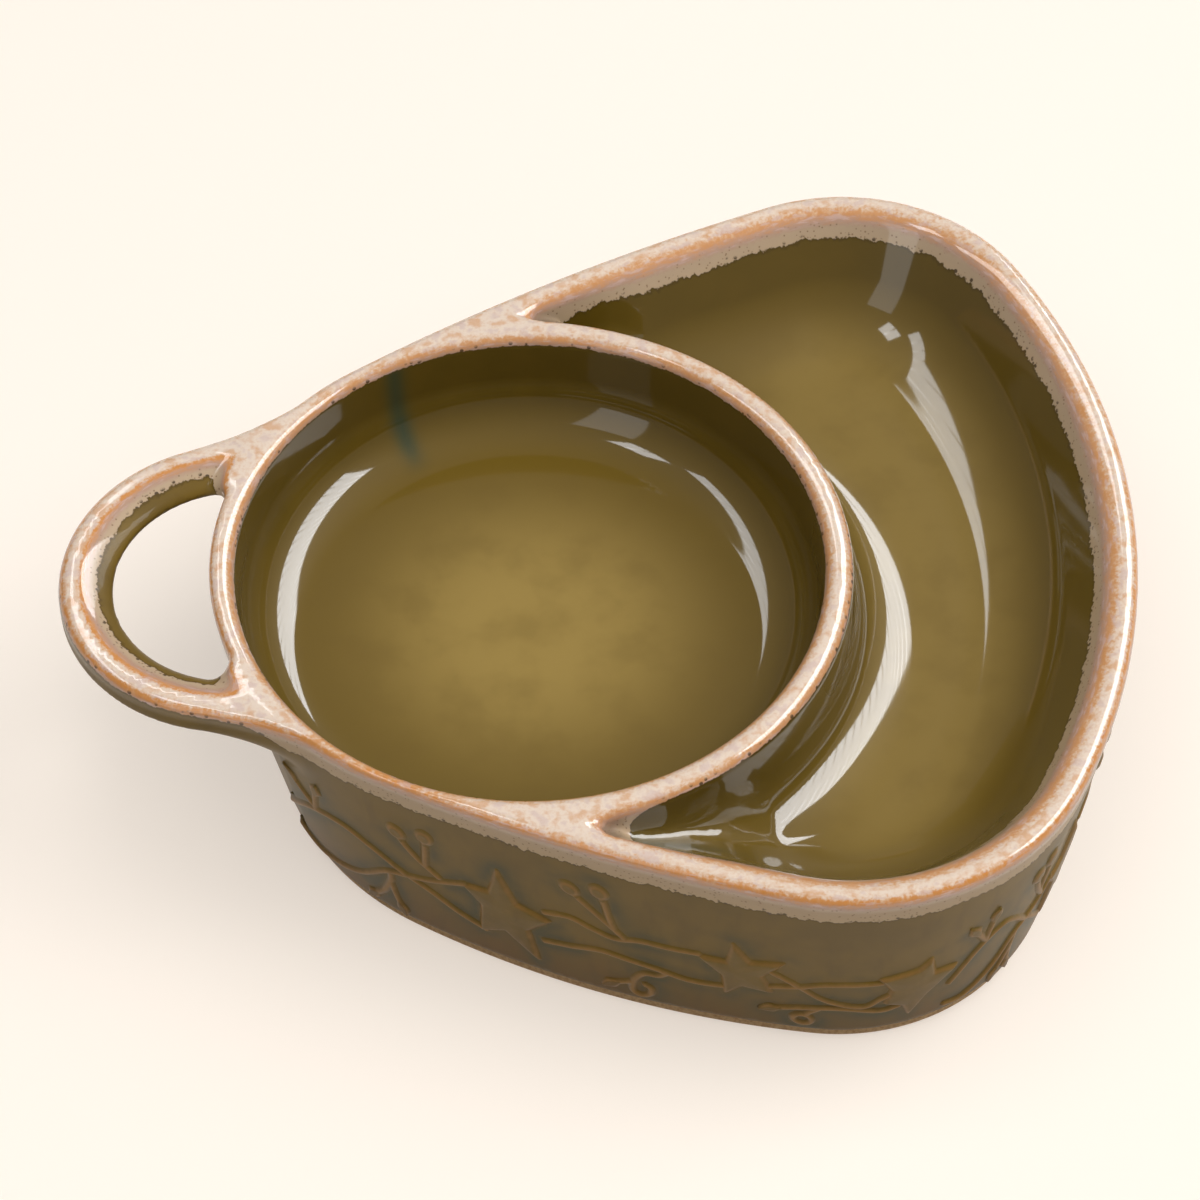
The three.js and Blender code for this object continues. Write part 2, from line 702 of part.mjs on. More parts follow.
const bayEdges = [VINE_START - STAR_REACH, ...STAR_PLACES, outlineLength - VINE_TAIL + STAR_REACH];
for (let i = 0; i + 1 < bayEdges.length; i += 1) {
  const bay = vineBay(BAYS[i % BAYS.length], bayEdges[i] + STAR_REACH, bayEdges[i + 1] - STAR_REACH);
  const besides = stars.slice(Math.max(0, i - 1), i + 1).map(starRoom);
  const trimmed = besides.reduce((strand, room) => strand.subtract(room), bay);
  const strands = trimmed.decompose().filter((strand) => strand.volume() > SPRIG_CRUMB);
  strands.forEach((strand, k) => {
    addPiece(`vine_${i + 1}_${k + 1}`, toGeometry(strand), reliefGlaze);
  });
}

// The origin goes to the middle of the underside.
const bounds = new THREE.Box3().setFromObject(dish);
const middle = bounds.getCenter(new THREE.Vector3());
dish.position.set(-middle.x, -middle.y, -bounds.min.z);

export default dish;
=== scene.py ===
import math

import bmesh
import bpy
import numpy as np
from mathutils import Matrix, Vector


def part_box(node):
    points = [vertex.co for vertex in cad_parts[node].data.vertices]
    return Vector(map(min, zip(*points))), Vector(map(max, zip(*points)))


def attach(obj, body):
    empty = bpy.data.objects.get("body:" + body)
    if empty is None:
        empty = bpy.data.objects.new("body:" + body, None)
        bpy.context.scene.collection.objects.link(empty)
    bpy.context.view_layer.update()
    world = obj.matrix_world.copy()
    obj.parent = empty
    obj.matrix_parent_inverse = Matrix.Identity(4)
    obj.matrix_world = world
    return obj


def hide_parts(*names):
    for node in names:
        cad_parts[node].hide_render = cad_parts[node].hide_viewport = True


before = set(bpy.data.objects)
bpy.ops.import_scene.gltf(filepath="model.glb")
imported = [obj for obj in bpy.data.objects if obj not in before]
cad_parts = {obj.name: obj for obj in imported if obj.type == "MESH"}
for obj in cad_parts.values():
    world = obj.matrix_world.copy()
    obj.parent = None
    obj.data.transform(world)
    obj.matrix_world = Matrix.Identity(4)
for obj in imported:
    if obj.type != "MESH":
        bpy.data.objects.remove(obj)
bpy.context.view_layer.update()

# Clay body. The dish is built in stoneware: a round bowl whose rim runs out into an outer wall, a crescent
# tray between the two, and a flat loop handle webbed to the wall. Clay slip closes every joint before the
# firing, so what shows is one smooth skin of glaze. Places are measured from the bowl's centre.
BOWL_END = (-0.0031, 0.0009, 0.0618)
NEAR_CORNER = (0.0628, -0.0387, 0.0509)
FAR_CORNER = (0.0737, 0.0597, 0.0416)
NEAR_FLANK_R = 0.396
BROAD_END_R = 0.151
FAR_FLANK_R = 0.484
FOOT_END_SHIFT = 0.0094
FOOT_END_SWELL = 0.0055
FOOT_NEAR_FLANK_R = 0.230
FOOT_FAR_FLANK_R = 0.280
RIM_TOP = 0.060
WALL_TOP = 0.054
LIP_HALF = 0.00305
LIP_ROUND = 0.0029
OUTER_TAPER = 0.126
BASE_LEVEL = 0.0025
BASE_ROUND = 0.0022
BOWL_R = 0.0655
BOWL_FLOOR = 0.0355
BOWL_TAPER = 0.06
BOWL_COVE = 0.0125
BOWL_DISH = 0.0007
TRAY_FLOOR = 0.0355
TRAY_SLANT = 0.66
TRAY_SLANT_SHARE = 0.8
TRAY_COVE = 0.012
TRAY_COVE_SHARE = 0.8
TRAY_NARROWEST = 0.003
FOOT_COVE = 0.018
FOOT_COVE_SHARE = 0.8
FOOT_SET_IN = 0.0041
FOOT_BLEND = 0.003
NEAR_TIP_REACH = 0.032
FAR_TIP_REACH = 0.020
TIP_CLIMB = 0.64
TIP_BEND = 0.001
TRAY_CROTCH = 0.0015
TIP_WIDTH = 0.0035
TIP_ROUND = 0.0015
DIVIDER_FLARE = 0.0016
HANDLE_AT = (-0.0620, -0.0005)
HANDLE_OUTER_R = 0.0374
HANDLE_CREST_R = 0.0334
HANDLE_HOLE_R = 0.0254
HANDLE_FOOT = 0.0518
HANDLE_EDGE = 0.002
HANDLE_DROP = 0.0005
HANDLE_NOSE_DROP = 0.0036
HANDLE_NOSE_DEPTH = 0.0036
HANDLE_NOSE_FALL = 0.0050
HANDLE_NOSE_ROUND = 0.0022
HANDLE_WEB_R = 0.013
HANDLE_CORNER = 0.0045
HANDLE_BLEND = 0.006
UNDER_INSET = 0.0102
UNDER_TAPER = 0.147
UNDER_TOP = 0.020
UNDER_COVE = 0.003
UNDER_EDGE = 0.001
ROUGH_STEP = 0.0016
SKIN_STEP = 0.00123

lip_low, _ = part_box("outer_lip")
bowl_at = np.array([
    lip_low[0] - BOWL_END[0] + BOWL_END[2] + LIP_HALF,
    lip_low[1] - NEAR_CORNER[1] + NEAR_CORNER[2] + LIP_HALF,
    0.0,
])


def touching_circle(first, second, radius):
    """Circle of the given radius that touches two circles and holds both of them inside it."""
    dx = second[0] - first[0]
    dy = second[1] - first[1]
    apart = math.hypot(dx, dy)
    to_first = radius - first[2]
    to_second = radius - second[2]
    along = (to_first ** 2 - to_second ** 2 + apart ** 2) / (2 * apart)
    across = math.sqrt(to_first ** 2 - along ** 2)
    centre_x = first[0] + (dx * along - dy * across) / apart
    centre_y = first[1] + (dy * along + dx * across) / apart
    return (centre_x, centre_y, radius)


def rim_arcs(share):
    """Arcs of the outline, from the rim's at share 0 to the foot's rounder one at share 1, each with its
    centre, radius, first angle and sweep."""
    bowl_end = (BOWL_END[0] + FOOT_END_SHIFT * share, BOWL_END[1], BOWL_END[2] + FOOT_END_SWELL * share)
    circles = [bowl_end, NEAR_CORNER, FAR_CORNER]
    near_flank = 1 / ((1 - share) / NEAR_FLANK_R + share / FOOT_NEAR_FLANK_R)
    far_flank = 1 / ((1 - share) / FAR_FLANK_R + share / FOOT_FAR_FLANK_R)
    radii = [near_flank, BROAD_END_R, far_flank]
    bridges = [touching_circle(circles[i], circles[(i + 1) % 3], radii[i]) for i in range(3)]
    arcs = []
    for i, circle in enumerate(circles):
        before = bridges[i - 1]
        after = bridges[i]
        beyond = circles[(i + 1) % 3]
        start = math.atan2(circle[1] - before[1], circle[0] - before[0])
        middle = math.atan2(circle[1] - after[1], circle[0] - after[0])
        end = math.atan2(beyond[1] - after[1], beyond[0] - after[0])
        arcs.append((*circle, start, (middle - start) % math.tau))
        arcs.append((*after, middle, (end - middle) % math.tau))
    return arcs


def beyond_rim(x, y, share):
    """Distance outwards from the outline, negative inside it."""
    reach = np.full(x.shape, -1.0)
    for cx, cy, radius, start, sweep in rim_arcs(share):
        turned = (np.arctan2(y - cy, x - cx) - start) % math.tau
        beyond = np.hypot(x - cx, y - cy) - radius
        reach = np.where(turned <= sweep, np.maximum(reach, beyond), reach)
    return reach


def round_both(a, b, radius):
    """What lies in both of two forms, with the edge between them rounded."""
    corner = np.hypot(np.maximum(a + radius, 0), np.maximum(b + radius, 0))
    return np.minimum(-radius, np.maximum(a, b)) + corner


def round_either(a, b, radius):
    """What lies in either of two forms, with the corner between them filled."""
    corner = np.hypot(np.maximum(radius - a, 0), np.maximum(radius - b, 0))
    return np.maximum(radius, np.minimum(a, b)) - corner


def ease(value):
    held = np.clip(value, 0, 1)
    return held * held * (3 - 2 * held)


def plan_of(points):
    """Distances past the outline and from the bowl's and the handle's axes, and the height."""
    x, y, z = (points - bowl_at).T
    share = np.clip((WALL_TOP - z) / WALL_TOP, 0, 1)
    past_rim = beyond_rim(x, y, 0.0)
    past = past_rim + (beyond_rim(x, y, 1.0) - past_rim) * share
    return past, np.hypot(x, y), np.hypot(x - HANDLE_AT[0], y - HANDLE_AT[1]), z


def outer_side(past, z):
    return past - LIP_HALF + OUTER_TAPER * (RIM_TOP - z)


def rim_level(past, from_handle, z):
    """Height of the top: level along the rims, and falling towards the finger hole on the handle."""
    away = ease(outer_side(past, z) / HANDLE_BLEND)
    inwards = np.clip((HANDLE_CREST_R - from_handle) / (HANDLE_CREST_R - HANDLE_HOLE_R), 0, 1)
    return RIM_TOP - away * (HANDLE_DROP + HANDLE_NOSE_DROP * inwards ** 1.4)


def bowl_room(from_bowl, z):
    wall = from_bowl - (BOWL_R - LIP_HALF - BOWL_TAPER * (RIM_TOP - z))
    floor = BOWL_FLOOR + BOWL_DISH * (from_bowl / BOWL_R) ** 2
    return round_both(wall, floor - z, BOWL_COVE)


def tray_width(past, from_bowl):
    return from_bowl - past - BOWL_R - 2 * LIP_HALF


def tip_reach(y):
    """Width of the tray below which its floor climbs towards a tip, near or far."""
    return np.where(y < 0, NEAR_TIP_REACH, FAR_TIP_REACH)


def tip_rise(width, y):
    """How far the tray's floor climbs towards its tips, where the walls draw together."""
    narrowed = tip_reach(y) - width
    return 0.5 * TIP_CLIMB * (narrowed + np.hypot(narrowed, TIP_BEND))


def wall_slant(width):
    """How far the tray's outer wall leans inwards for each step down, less where the tray is narrow."""
    return np.minimum(TRAY_SLANT, TRAY_SLANT_SHARE * width / (RIM_TOP - TRAY_FLOOR))


def tray_room(past, from_bowl, y, z):
    """The tray's hollow, with a leaning outer wall and a cove along its foot and around the bowl's."""
    down = np.maximum(RIM_TOP - z, 0)
    width = tray_width(past, from_bowl)
    floor = TRAY_FLOOR + tip_rise(width, y)
    room = np.maximum(width, TRAY_NARROWEST)
    slant = wall_slant(room)
    wall_cove = np.minimum(TRAY_COVE, TRAY_COVE_SHARE * room)
    foot_cove = np.minimum(FOOT_COVE, FOOT_COVE_SHARE * room)
    wall = (past + LIP_HALF + slant * down) / np.sqrt(1 + slant ** 2)
    flare = DIVIDER_FLARE * (down / (RIM_TOP - TRAY_FLOOR)) ** 2
    divider = BOWL_R + LIP_HALF + flare - from_bowl
    outer_half = round_both(wall, floor - z, wall_cove)
    flared = round_both(divider - FOOT_SET_IN * foot_cove / FOOT_COVE, floor - z, foot_cove)
    inner_half = round_both(divider, flared, FOOT_BLEND)
    hollow = round_both(outer_half, inner_half, TRAY_CROTCH)
    return round_both(hollow, TIP_WIDTH - width, TIP_ROUND)


def finger_room(past, from_handle, z):
    below_nose = np.clip(RIM_TOP - HANDLE_NOSE_DROP - z, 0, HANDLE_NOSE_FALL)
    hole = from_handle - HANDLE_HOLE_R - below_nose ** 2 / HANDLE_NOSE_DEPTH
    return round_both(hole, -outer_side(past, z), HANDLE_CORNER)


def skin(points):
    """Signed distance to the glazed skin, negative in the clay."""
    past, from_bowl, from_handle, z = plan_of(points)
    ring = round_both(from_handle - HANDLE_OUTER_R, HANDLE_FOOT - z, HANDLE_EDGE)
    form = round_either(outer_side(past, z), ring, HANDLE_WEB_R)
    form = round_both(form, z - rim_level(past, from_handle, z), LIP_ROUND)
    form = round_both(form, BASE_LEVEL - z, BASE_ROUND)
    form = round_both(form, -bowl_room(from_bowl, z), LIP_ROUND)
    form = round_both(form, -tray_room(past, from_bowl, points[:, 1] - bowl_at[1], z), LIP_ROUND)
    form = round_both(form, -finger_room(past, from_handle, z), HANDLE_NOSE_ROUND)
    skirt = past + UNDER_INSET - UNDER_TAPER * (z - BASE_LEVEL)
    under = round_both(skirt, z - UNDER_TOP, UNDER_COVE)
    return round_both(form, -under, UNDER_EDGE)


def slope_of(field, points, step=4e-5):
    """Slope of a form at points, and its distance there."""
    here = field(points)
    slope = np.empty_like(points)
    for axis in range(3):
        ahead = points.copy()
        ahead[:, axis] += step
        slope[:, axis] = (field(ahead) - here) / step
    return slope, here


def settle(field, points, level=0.0, rounds=4, most=0.002):
    """Moves points along the form's slope until they lie at the given distance from it."""
    for _ in range(rounds):
        slope, here = slope_of(field, points)
        share = (here - level) / np.maximum((slope ** 2).sum(axis=1), 0.25)
        points = points - np.clip(share[:, None] * slope, -most, most)
    return points


def rim_points(offset, share=0.0, spacing=0.004):
    """Plan points around the outline, set off outwards from it."""
    points = []
    for arc, plain in zip(rim_arcs(share), rim_arcs(0.0)):
        cx, cy, radius, start, sweep = arc
        count = max(2, round(plain[2] * plain[4] / spacing))
        for k in range(count):
            angle = start + sweep * k / count
            reach = radius + offset
            points.append((cx + reach * math.cos(angle), cy + reach * math.sin(angle)))
    return points


def circle_plan(x, y, radius, count=96):
    turns = [math.tau * k / count for k in range(count)]
    return [(x + radius * math.cos(turn), y + radius * math.sin(turn)) for turn in turns]


def placed(name, bm):
    """Makes a piece of a finished shape and sets it on the table."""
    mesh = bpy.data.meshes.new(name)
    bm.to_mesh(mesh)
    bm.free()
    piece = bpy.data.objects.new(name, mesh)
    bpy.context.collection.objects.link(piece)
    return piece


def blank(name, low_plan, high_plan, low, high):
    """A block of clay between two plan outlines."""
    bm = bmesh.new()
    face = bm.faces.new([bm.verts.new((bowl_at[0] + x, bowl_at[1] + y, low)) for x, y in low_plan])
    raised = bmesh.ops.extrude_face_region(bm, geom=[face])["geom"]
    top = next(part for part in raised if isinstance(part, bmesh.types.BMFace))
    for loop, (x, y) in zip(top.loops, high_plan):
        loop.vert.co = (bowl_at[0] + x, bowl_at[1] + y, high)
    bmesh.ops.recalc_face_normals(bm, faces=bm.faces)
    return placed(name, bm)


def straight(name, plan, low, high):
    return blank(name, plan, plan, low, high)


def cut(piece, operation, tool):
    step = piece.modifiers.new(tool.name, "BOOLEAN")
    step.operation = operation
    step.object = tool
    step.solver = "EXACT"


# Rough blanks of the body, the handle and the web between them
FOOT_BLANK_INSET = 0.0042
HANDLE_BLANK_TOP = RIM_TOP - 0.0008
WEB_INSET = 0.003
WEB_FOOT_SHARE = 0.4
WEB_OUT = 0.008
WEB_LOW = 0.040
WEB_TOP = HANDLE_FOOT + 0.003
WEB_SPREAD = 0.002
CUT_PAST = 0.010
ring_plan = circle_plan(*HANDLE_AT, HANDLE_OUTER_R)
hole_plan = circle_plan(*HANDLE_AT, HANDLE_HOLE_R)
web_plan = circle_plan(*HANDLE_AT, HANDLE_OUTER_R + WEB_SPREAD)
body = blank("dish_body", rim_points(-FOOT_BLANK_INSET, 1.0), rim_points(LIP_HALF), BASE_LEVEL, RIM_TOP)
handle = straight("handle_blank", ring_plan, HANDLE_FOOT, HANDLE_BLANK_TOP)
finger = straight("finger_blank", hole_plan, HANDLE_FOOT - CUT_PAST, RIM_TOP + CUT_PAST)
web = blank("web_blank", rim_points(-WEB_INSET, WEB_FOOT_SHARE), rim_points(WEB_OUT), WEB_LOW, WEB_TOP)
web_reach = straight("web_reach", web_plan, WEB_LOW - CUT_PAST, RIM_TOP)
cut(web, "INTERSECT", web_reach)
cut(handle, "UNION", web)
cut(handle, "DIFFERENCE", finger)
cut(body, "UNION", handle)
tools = [handle, finger, web, web_reach]

# Rooms cut out of the block in steps, a little short of the finished walls
TRAY_STEPS = (0.0, 0.12, 0.28, 0.48, 0.7, 0.9)
TRAY_STEP_INSET = 0.0055
TRAY_STEP_CLEAR = 0.0012
TRAY_STEP_WIDTH = 0.004
FOOT_COVE_TOP = 0.75
BOWL_STEPS = (0.0, 0.3, 0.75)
BOWL_STEP_INSET = 0.0045
INWARD_STEP = 0.001
CRESCENT_START = math.radians(-100)
CRESCENT_SWEEP = math.radians(220)
CRESCENT_POINTS = 120


def wall_inset(x, y, level):
    """How far inside the outline the tray's wall stands at a level, how wide the tray is there, and the
    distance past the outline."""
    past = beyond_rim(np.array([x]), np.array([y]), 0.0)[0]
    width = tray_width(past, math.hypot(x, y))
    leaning = wall_slant(max(width, TRAY_NARROWEST)) * (RIM_TOP - level)
    return TRAY_STEP_INSET + leaning, width, past


def crescent(level, inner_r):
    """Plan of the tray between the outer wall and the bowl, as far into its tips as it keeps a width."""
    outline = []
    for (x, y), (in_x, in_y) in zip(rim_points(0.0), rim_points(-INWARD_STEP)):
        steps_in = wall_inset(x, y, level)[0] / INWARD_STEP
        outline.append((x + (in_x - x) * steps_in, y + (in_y - y) * steps_in))
    outline = [(x, y) for x, y in outline if math.hypot(x, y) > inner_r]
    first = min(range(len(outline)), key=lambda i: math.atan2(outline[i][1], outline[i][0]))
    outline = outline[first:] + outline[:first]
    angles = [CRESCENT_START + CRESCENT_SWEEP * k / CRESCENT_POINTS for k in range(CRESCENT_POINTS + 1)]
    arc = [(inner_r * math.cos(angle), inner_r * math.sin(angle)) for angle in reversed(angles)]
    climbed = (level - TRAY_FLOOR) / TIP_CLIMB
    kept = []
    for x, y in outline:
        if wall_inset(x, y, level)[1] > max(tip_reach(y) - climbed, TRAY_STEP_WIDTH):
            kept.append((x, y))
    for x, y in arc:
        inset, width, past = wall_inset(x, y, level)
        if past < -inset and width > max(tip_reach(y) - climbed, TRAY_STEP_WIDTH):
            kept.append((x, y))
    return kept


for share in TRAY_STEPS:
    turn_in = 1 - math.sqrt(1 - (1 - min(share / FOOT_COVE_TOP, 1)) ** 2)
    level = TRAY_FLOOR + (RIM_TOP - TRAY_FLOOR) * share
    width = max(FAR_TIP_REACH - (level - TRAY_FLOOR) / TIP_CLIMB, 0)
    foot_cove = min(FOOT_COVE, FOOT_COVE_SHARE * width)
    inner_r = BOWL_R + LIP_HALF + TRAY_STEP_CLEAR + foot_cove * turn_in
    plan = crescent(level, inner_r)
    room = straight(f"tray_blank_{share}", plan, level, RIM_TOP + 2 * CUT_PAST)
    cut(body, "DIFFERENCE", room)
    tools.append(room)
for share in BOWL_STEPS:
    inwards = BOWL_COVE * (1 - math.sqrt(1 - (1 - share) ** 2)) + BOWL_STEP_INSET
    floor = BOWL_FLOOR + BOWL_COVE * share
    plan = circle_plan(0, 0, BOWL_R - inwards)
    room = straight(f"bowl_blank_{share}", plan, floor, RIM_TOP + 3 * CUT_PAST)
    cut(body, "DIFFERENCE", room)
    tools.append(room)
under = straight("under_blank", rim_points(-UNDER_INSET, 1.0), BASE_LEVEL - CUT_PAST, UNDER_TOP)
cut(body, "DIFFERENCE", under)
tools.append(under)


def even_skin(piece, step):
    """Covers a piece with an even net of small faces."""
    remesh = piece.modifiers.new("even skin", "REMESH")
    remesh.mode = "VOXEL"
    remesh.voxel_size = step
    remesh.use_smooth_shade = True
    evaluated = piece.evaluated_get(bpy.context.evaluated_depsgraph_get())
    mesh = bpy.data.meshes.new_from_object(evaluated)
    piece.modifiers.clear()
    piece.data = mesh
    return mesh


def points_of(mesh):
    points = np.empty(len(mesh.vertices) * 3)
    mesh.vertices.foreach_get("co", points)
    return points.reshape(-1, 3)


def put_points(mesh, points):
    mesh.vertices.foreach_set("co", points.ravel())
    mesh.update()


def relax(mesh, rounds):
    bm = bmesh.new()
    bm.from_mesh(mesh)
    for _ in range(rounds):
        bmesh.ops.smooth_vert(
            bm, verts=bm.verts, factor=0.5, use_axis_x=True, use_axis_y=True, use_axis_z=True,
        )
    bm.to_mesh(mesh)
    bm.free()


rough_mesh = even_skin(body, ROUGH_STEP)
for tool in tools:
    bpy.data.objects.remove(tool)
put_points(rough_mesh, settle(skin, points_of(rough_mesh), rounds=6))
relax(rough_mesh, 6)
put_points(rough_mesh, settle(skin, points_of(rough_mesh), rounds=4))
skin_mesh = even_skin(body, SKIN_STEP)
put_points(skin_mesh, settle(skin, points_of(skin_mesh), rounds=3))
for _ in range(2):
    relax(skin_mesh, 3)
    put_points(skin_mesh, settle(skin, points_of(skin_mesh), rounds=2))
skin_slope, _ = slope_of(skin, points_of(skin_mesh))
skin_normals = skin_slope / np.linalg.norm(skin_slope, axis=1)[:, None]
skin_mesh.normals_split_custom_set_from_vertices(skin_normals)

# Where the glazes lie. The pale band's depths and drips are in millimetres below the crest of the rim.
RIM_BANDS = {
    "bowl": 2.2,
    "divider": 1.7,
    "tray": 5.2,
    "outside": 7.6,
    "handle_slope": 4.3,
    "handle_side": 2.0,
}
OUTSIDE_FROM = -0.002
DIVIDER_BLEND = 0.006
CREAM_POOLS = ((0.0125, -0.0682, 0.0055), (0.0030, 0.0718, 0.0075))
CREAM_POOL_DEPTH = 6.0
DRIPS = ((0.0842, 0.0972, 2.6), (0.0886, 0.0958, 3.6), (0.0925, 0.0938, 1.6))
DRIP_WIDTH = 0.0017
TEAL_TURN = math.radians(116.0)
TEAL_WIDTH = 0.0024
TEAL_FROM = 0.049
TEAL_FADE = 0.009
CROTCH_STAIN = (0.026, -0.0635, 0.012)
CROTCH_WIDTH = 0.003
CROTCH_SHARE = 0.8
# Painted light on the floors inside: where it fades out in the bowl and across the tray, and its strength in
# the tray
BOWL_FLOOR_LIGHT_FADE = (0.010, 0.048)
TRAY_FLOOR_LIGHT_FADE = (0.030, 0.055)
TRAY_FLOOR_LIGHT_SHARE = 0.45


def store(mesh, name, values):
    """Keeps one number per point of a mesh for its glaze."""
    layer = mesh.attributes.new(name, "FLOAT", "POINT")
    layer.data.foreach_set("value", np.ascontiguousarray(values, dtype=np.float32))


def near(x, y, spot, width):
    return np.exp(-((x - spot[0]) ** 2 + (y - spot[1]) ** 2) / width ** 2)


skin_points = points_of(skin_mesh)
past, from_bowl, from_handle, height = plan_of(skin_points)
plan_x, plan_y, _ = (skin_points - bowl_at).T
side = outer_side(past, height)
on_handle = ease(side / HANDLE_BLEND)
outside = np.where(side > OUTSIDE_FROM, 1.0, 0.0)
drop = (RIM_TOP - height) * 1000
slope_run = (HANDLE_CREST_R - from_handle) * 1000
loop_drop = drop - HANDLE_DROP * 1000
handle_drop = np.where(slope_run > 0, np.maximum(slope_run, loop_drop), loop_drop)
drop = drop + (handle_drop - drop) * on_handle
beyond_divider = from_bowl - BOWL_R + past
to_wall = ease(beyond_divider / DIVIDER_BLEND + 0.5)
tray_band = RIM_BANDS["divider"] + (RIM_BANDS["tray"] - RIM_BANDS["divider"]) * to_wall
for drip_x, drip_y, length in DRIPS:
    tray_band = tray_band + length * near(plan_x, plan_y, (drip_x, drip_y), DRIP_WIDTH) ** 0.5
for pool_x, pool_y, width in CREAM_POOLS:
    tray_band = tray_band + CREAM_POOL_DEPTH * near(plan_x, plan_y, (pool_x, pool_y), width)
band = np.where(past < 0, tray_band, RIM_BANDS["outside"])
band = np.where((from_bowl < BOWL_R) & (outside < 0.5), RIM_BANDS["bowl"], band)
handle_band = np.where(slope_run > 0, RIM_BANDS["handle_slope"], RIM_BANDS["handle_side"])
band = band + (handle_band - band) * on_handle
teal_run = (np.arctan2(plan_y, plan_x) - TEAL_TURN) * from_bowl / TEAL_WIDTH
teal = np.exp(-teal_run ** 2) * (from_bowl < BOWL_R) * ease((from_bowl - TEAL_FROM) / TEAL_FADE)
stain = CROTCH_SHARE * near(plan_x, plan_y, CROTCH_STAIN, CROTCH_STAIN[2])
stain = stain * np.exp(-(beyond_divider / CROTCH_WIDTH) ** 2)
teal = np.maximum(teal, stain * (past < 0) * (from_bowl > BOWL_R))
store(skin_mesh, "drop", drop)
store(skin_mesh, "band", band)
# How level each point's face is, which darkens the walls inside as painted shade
store(skin_mesh, "level", np.clip(skin_normals[:, 2], 0, 1))
store(skin_mesh, "outside", outside)
store(skin_mesh, "teal", teal)
# Painted light: lighter in the middle of the floors, fading out towards the walls
bowl_painted_light = 1 - ease((from_bowl - BOWL_FLOOR_LIGHT_FADE[0]) / (BOWL_FLOOR_LIGHT_FADE[1] - BOWL_FLOOR_LIGHT_FADE[0]))
tray_painted_light = ease((tray_width(past, from_bowl) - TRAY_FLOOR_LIGHT_FADE[0]) / (TRAY_FLOOR_LIGHT_FADE[1] - TRAY_FLOOR_LIGHT_FADE[0]))
middle = np.where(from_bowl < BOWL_R, bowl_painted_light, TRAY_FLOOR_LIGHT_SHARE * tray_painted_light)
store(skin_mesh, "middle", middle * ease(skin_normals[:, 2] * 4 - 3))


def srgb(red, green, blue):
    """A colour given in the usual 0 to 255 steps."""
    parts = [part / 255 for part in (red, green, blue)]
    return (*[part / 12.92 if part <= 0.04045 else ((part + 0.055) / 1.055) ** 2.4 for part in parts], 1.0)


def feed(tree, socket, value):
    if isinstance(value, bpy.types.NodeSocket):
        tree.links.new(value, socket)
    else:
        socket.default_value = value


def calc(tree, operation, *values):
    node = tree.nodes.new("ShaderNodeMath")
    node.operation = operation
    for socket, value in zip(node.inputs, values):
        feed(tree, socket, value)
    return node.outputs[0]


def between(tree, value, low, high):
    """Rises smoothly from nought to one."""
    node = tree.nodes.new("ShaderNodeMapRange")
    node.interpolation_type = "SMOOTHSTEP"
    feed(tree, node.inputs["Value"], value)
    feed(tree, node.inputs["From Min"], low)
    feed(tree, node.inputs["From Max"], high)
    return node.outputs[0]


def blend(tree, share, first, second):
    node = tree.nodes.new("ShaderNodeMix")
    node.data_type = "RGBA"
    feed(tree, node.inputs[0], share)
    feed(tree, node.inputs[6], first)
    feed(tree, node.inputs[7], second)
    return node.outputs[2]


def noise(tree, vector, scale, detail=2.0):
    node = tree.nodes.new("ShaderNodeTexNoise")
    node.inputs["Scale"].default_value = scale
    node.inputs["Detail"].default_value = detail
    tree.links.new(vector, node.inputs["Vector"])
    return node.outputs["Fac"]


def stored(tree, name):
    node = tree.nodes.new("ShaderNodeAttribute")
    node.attribute_name = name
    return node.outputs["Fac"]


def stretched(tree, vector, scale):
    node = tree.nodes.new("ShaderNodeMapping")
    node.inputs["Scale"].default_value = scale
    tree.links.new(vector, node.inputs["Vector"])
    return node.outputs["Vector"]


def ramp(tree, value, stops):
    node = tree.nodes.new("ShaderNodeValToRGB")
    node.color_ramp.elements[0].position = stops[0][0]
    node.color_ramp.elements[0].color = stops[0][1]
    node.color_ramp.elements[1].position = stops[-1][0]
    node.color_ramp.elements[1].color = stops[-1][1]
    for place, colour in stops[1:-1]:
        node.color_ramp.elements.new(place).color = colour
    feed(tree, node.inputs["Fac"], value)
    return node.outputs["Color"]


def falls(tree, value, low, high):
    """Falls smoothly from one to nought."""
    return calc(tree, "SUBTRACT", 1.0, between(tree, value, low, high))


def object_place(tree):
    return tree.nodes.new("ShaderNodeTexCoord").outputs["Object"]


def new_finish(name):
    """A finish, with its nodes and its shader."""
    finish = bpy.data.materials.new(name)
    finish.use_nodes = True
    return finish, finish.node_tree, finish.node_tree.nodes["Principled BSDF"]


def fired_gloss(shader):
    """A soft body of glaze under a clear, even gloss."""
    shader.inputs["Roughness"].default_value = 0.45
    shader.inputs["Specular IOR Level"].default_value = 0.1
    shader.inputs["Coat Roughness"].default_value = 0.06
    shader.inputs["Coat IOR"].default_value = 1.6


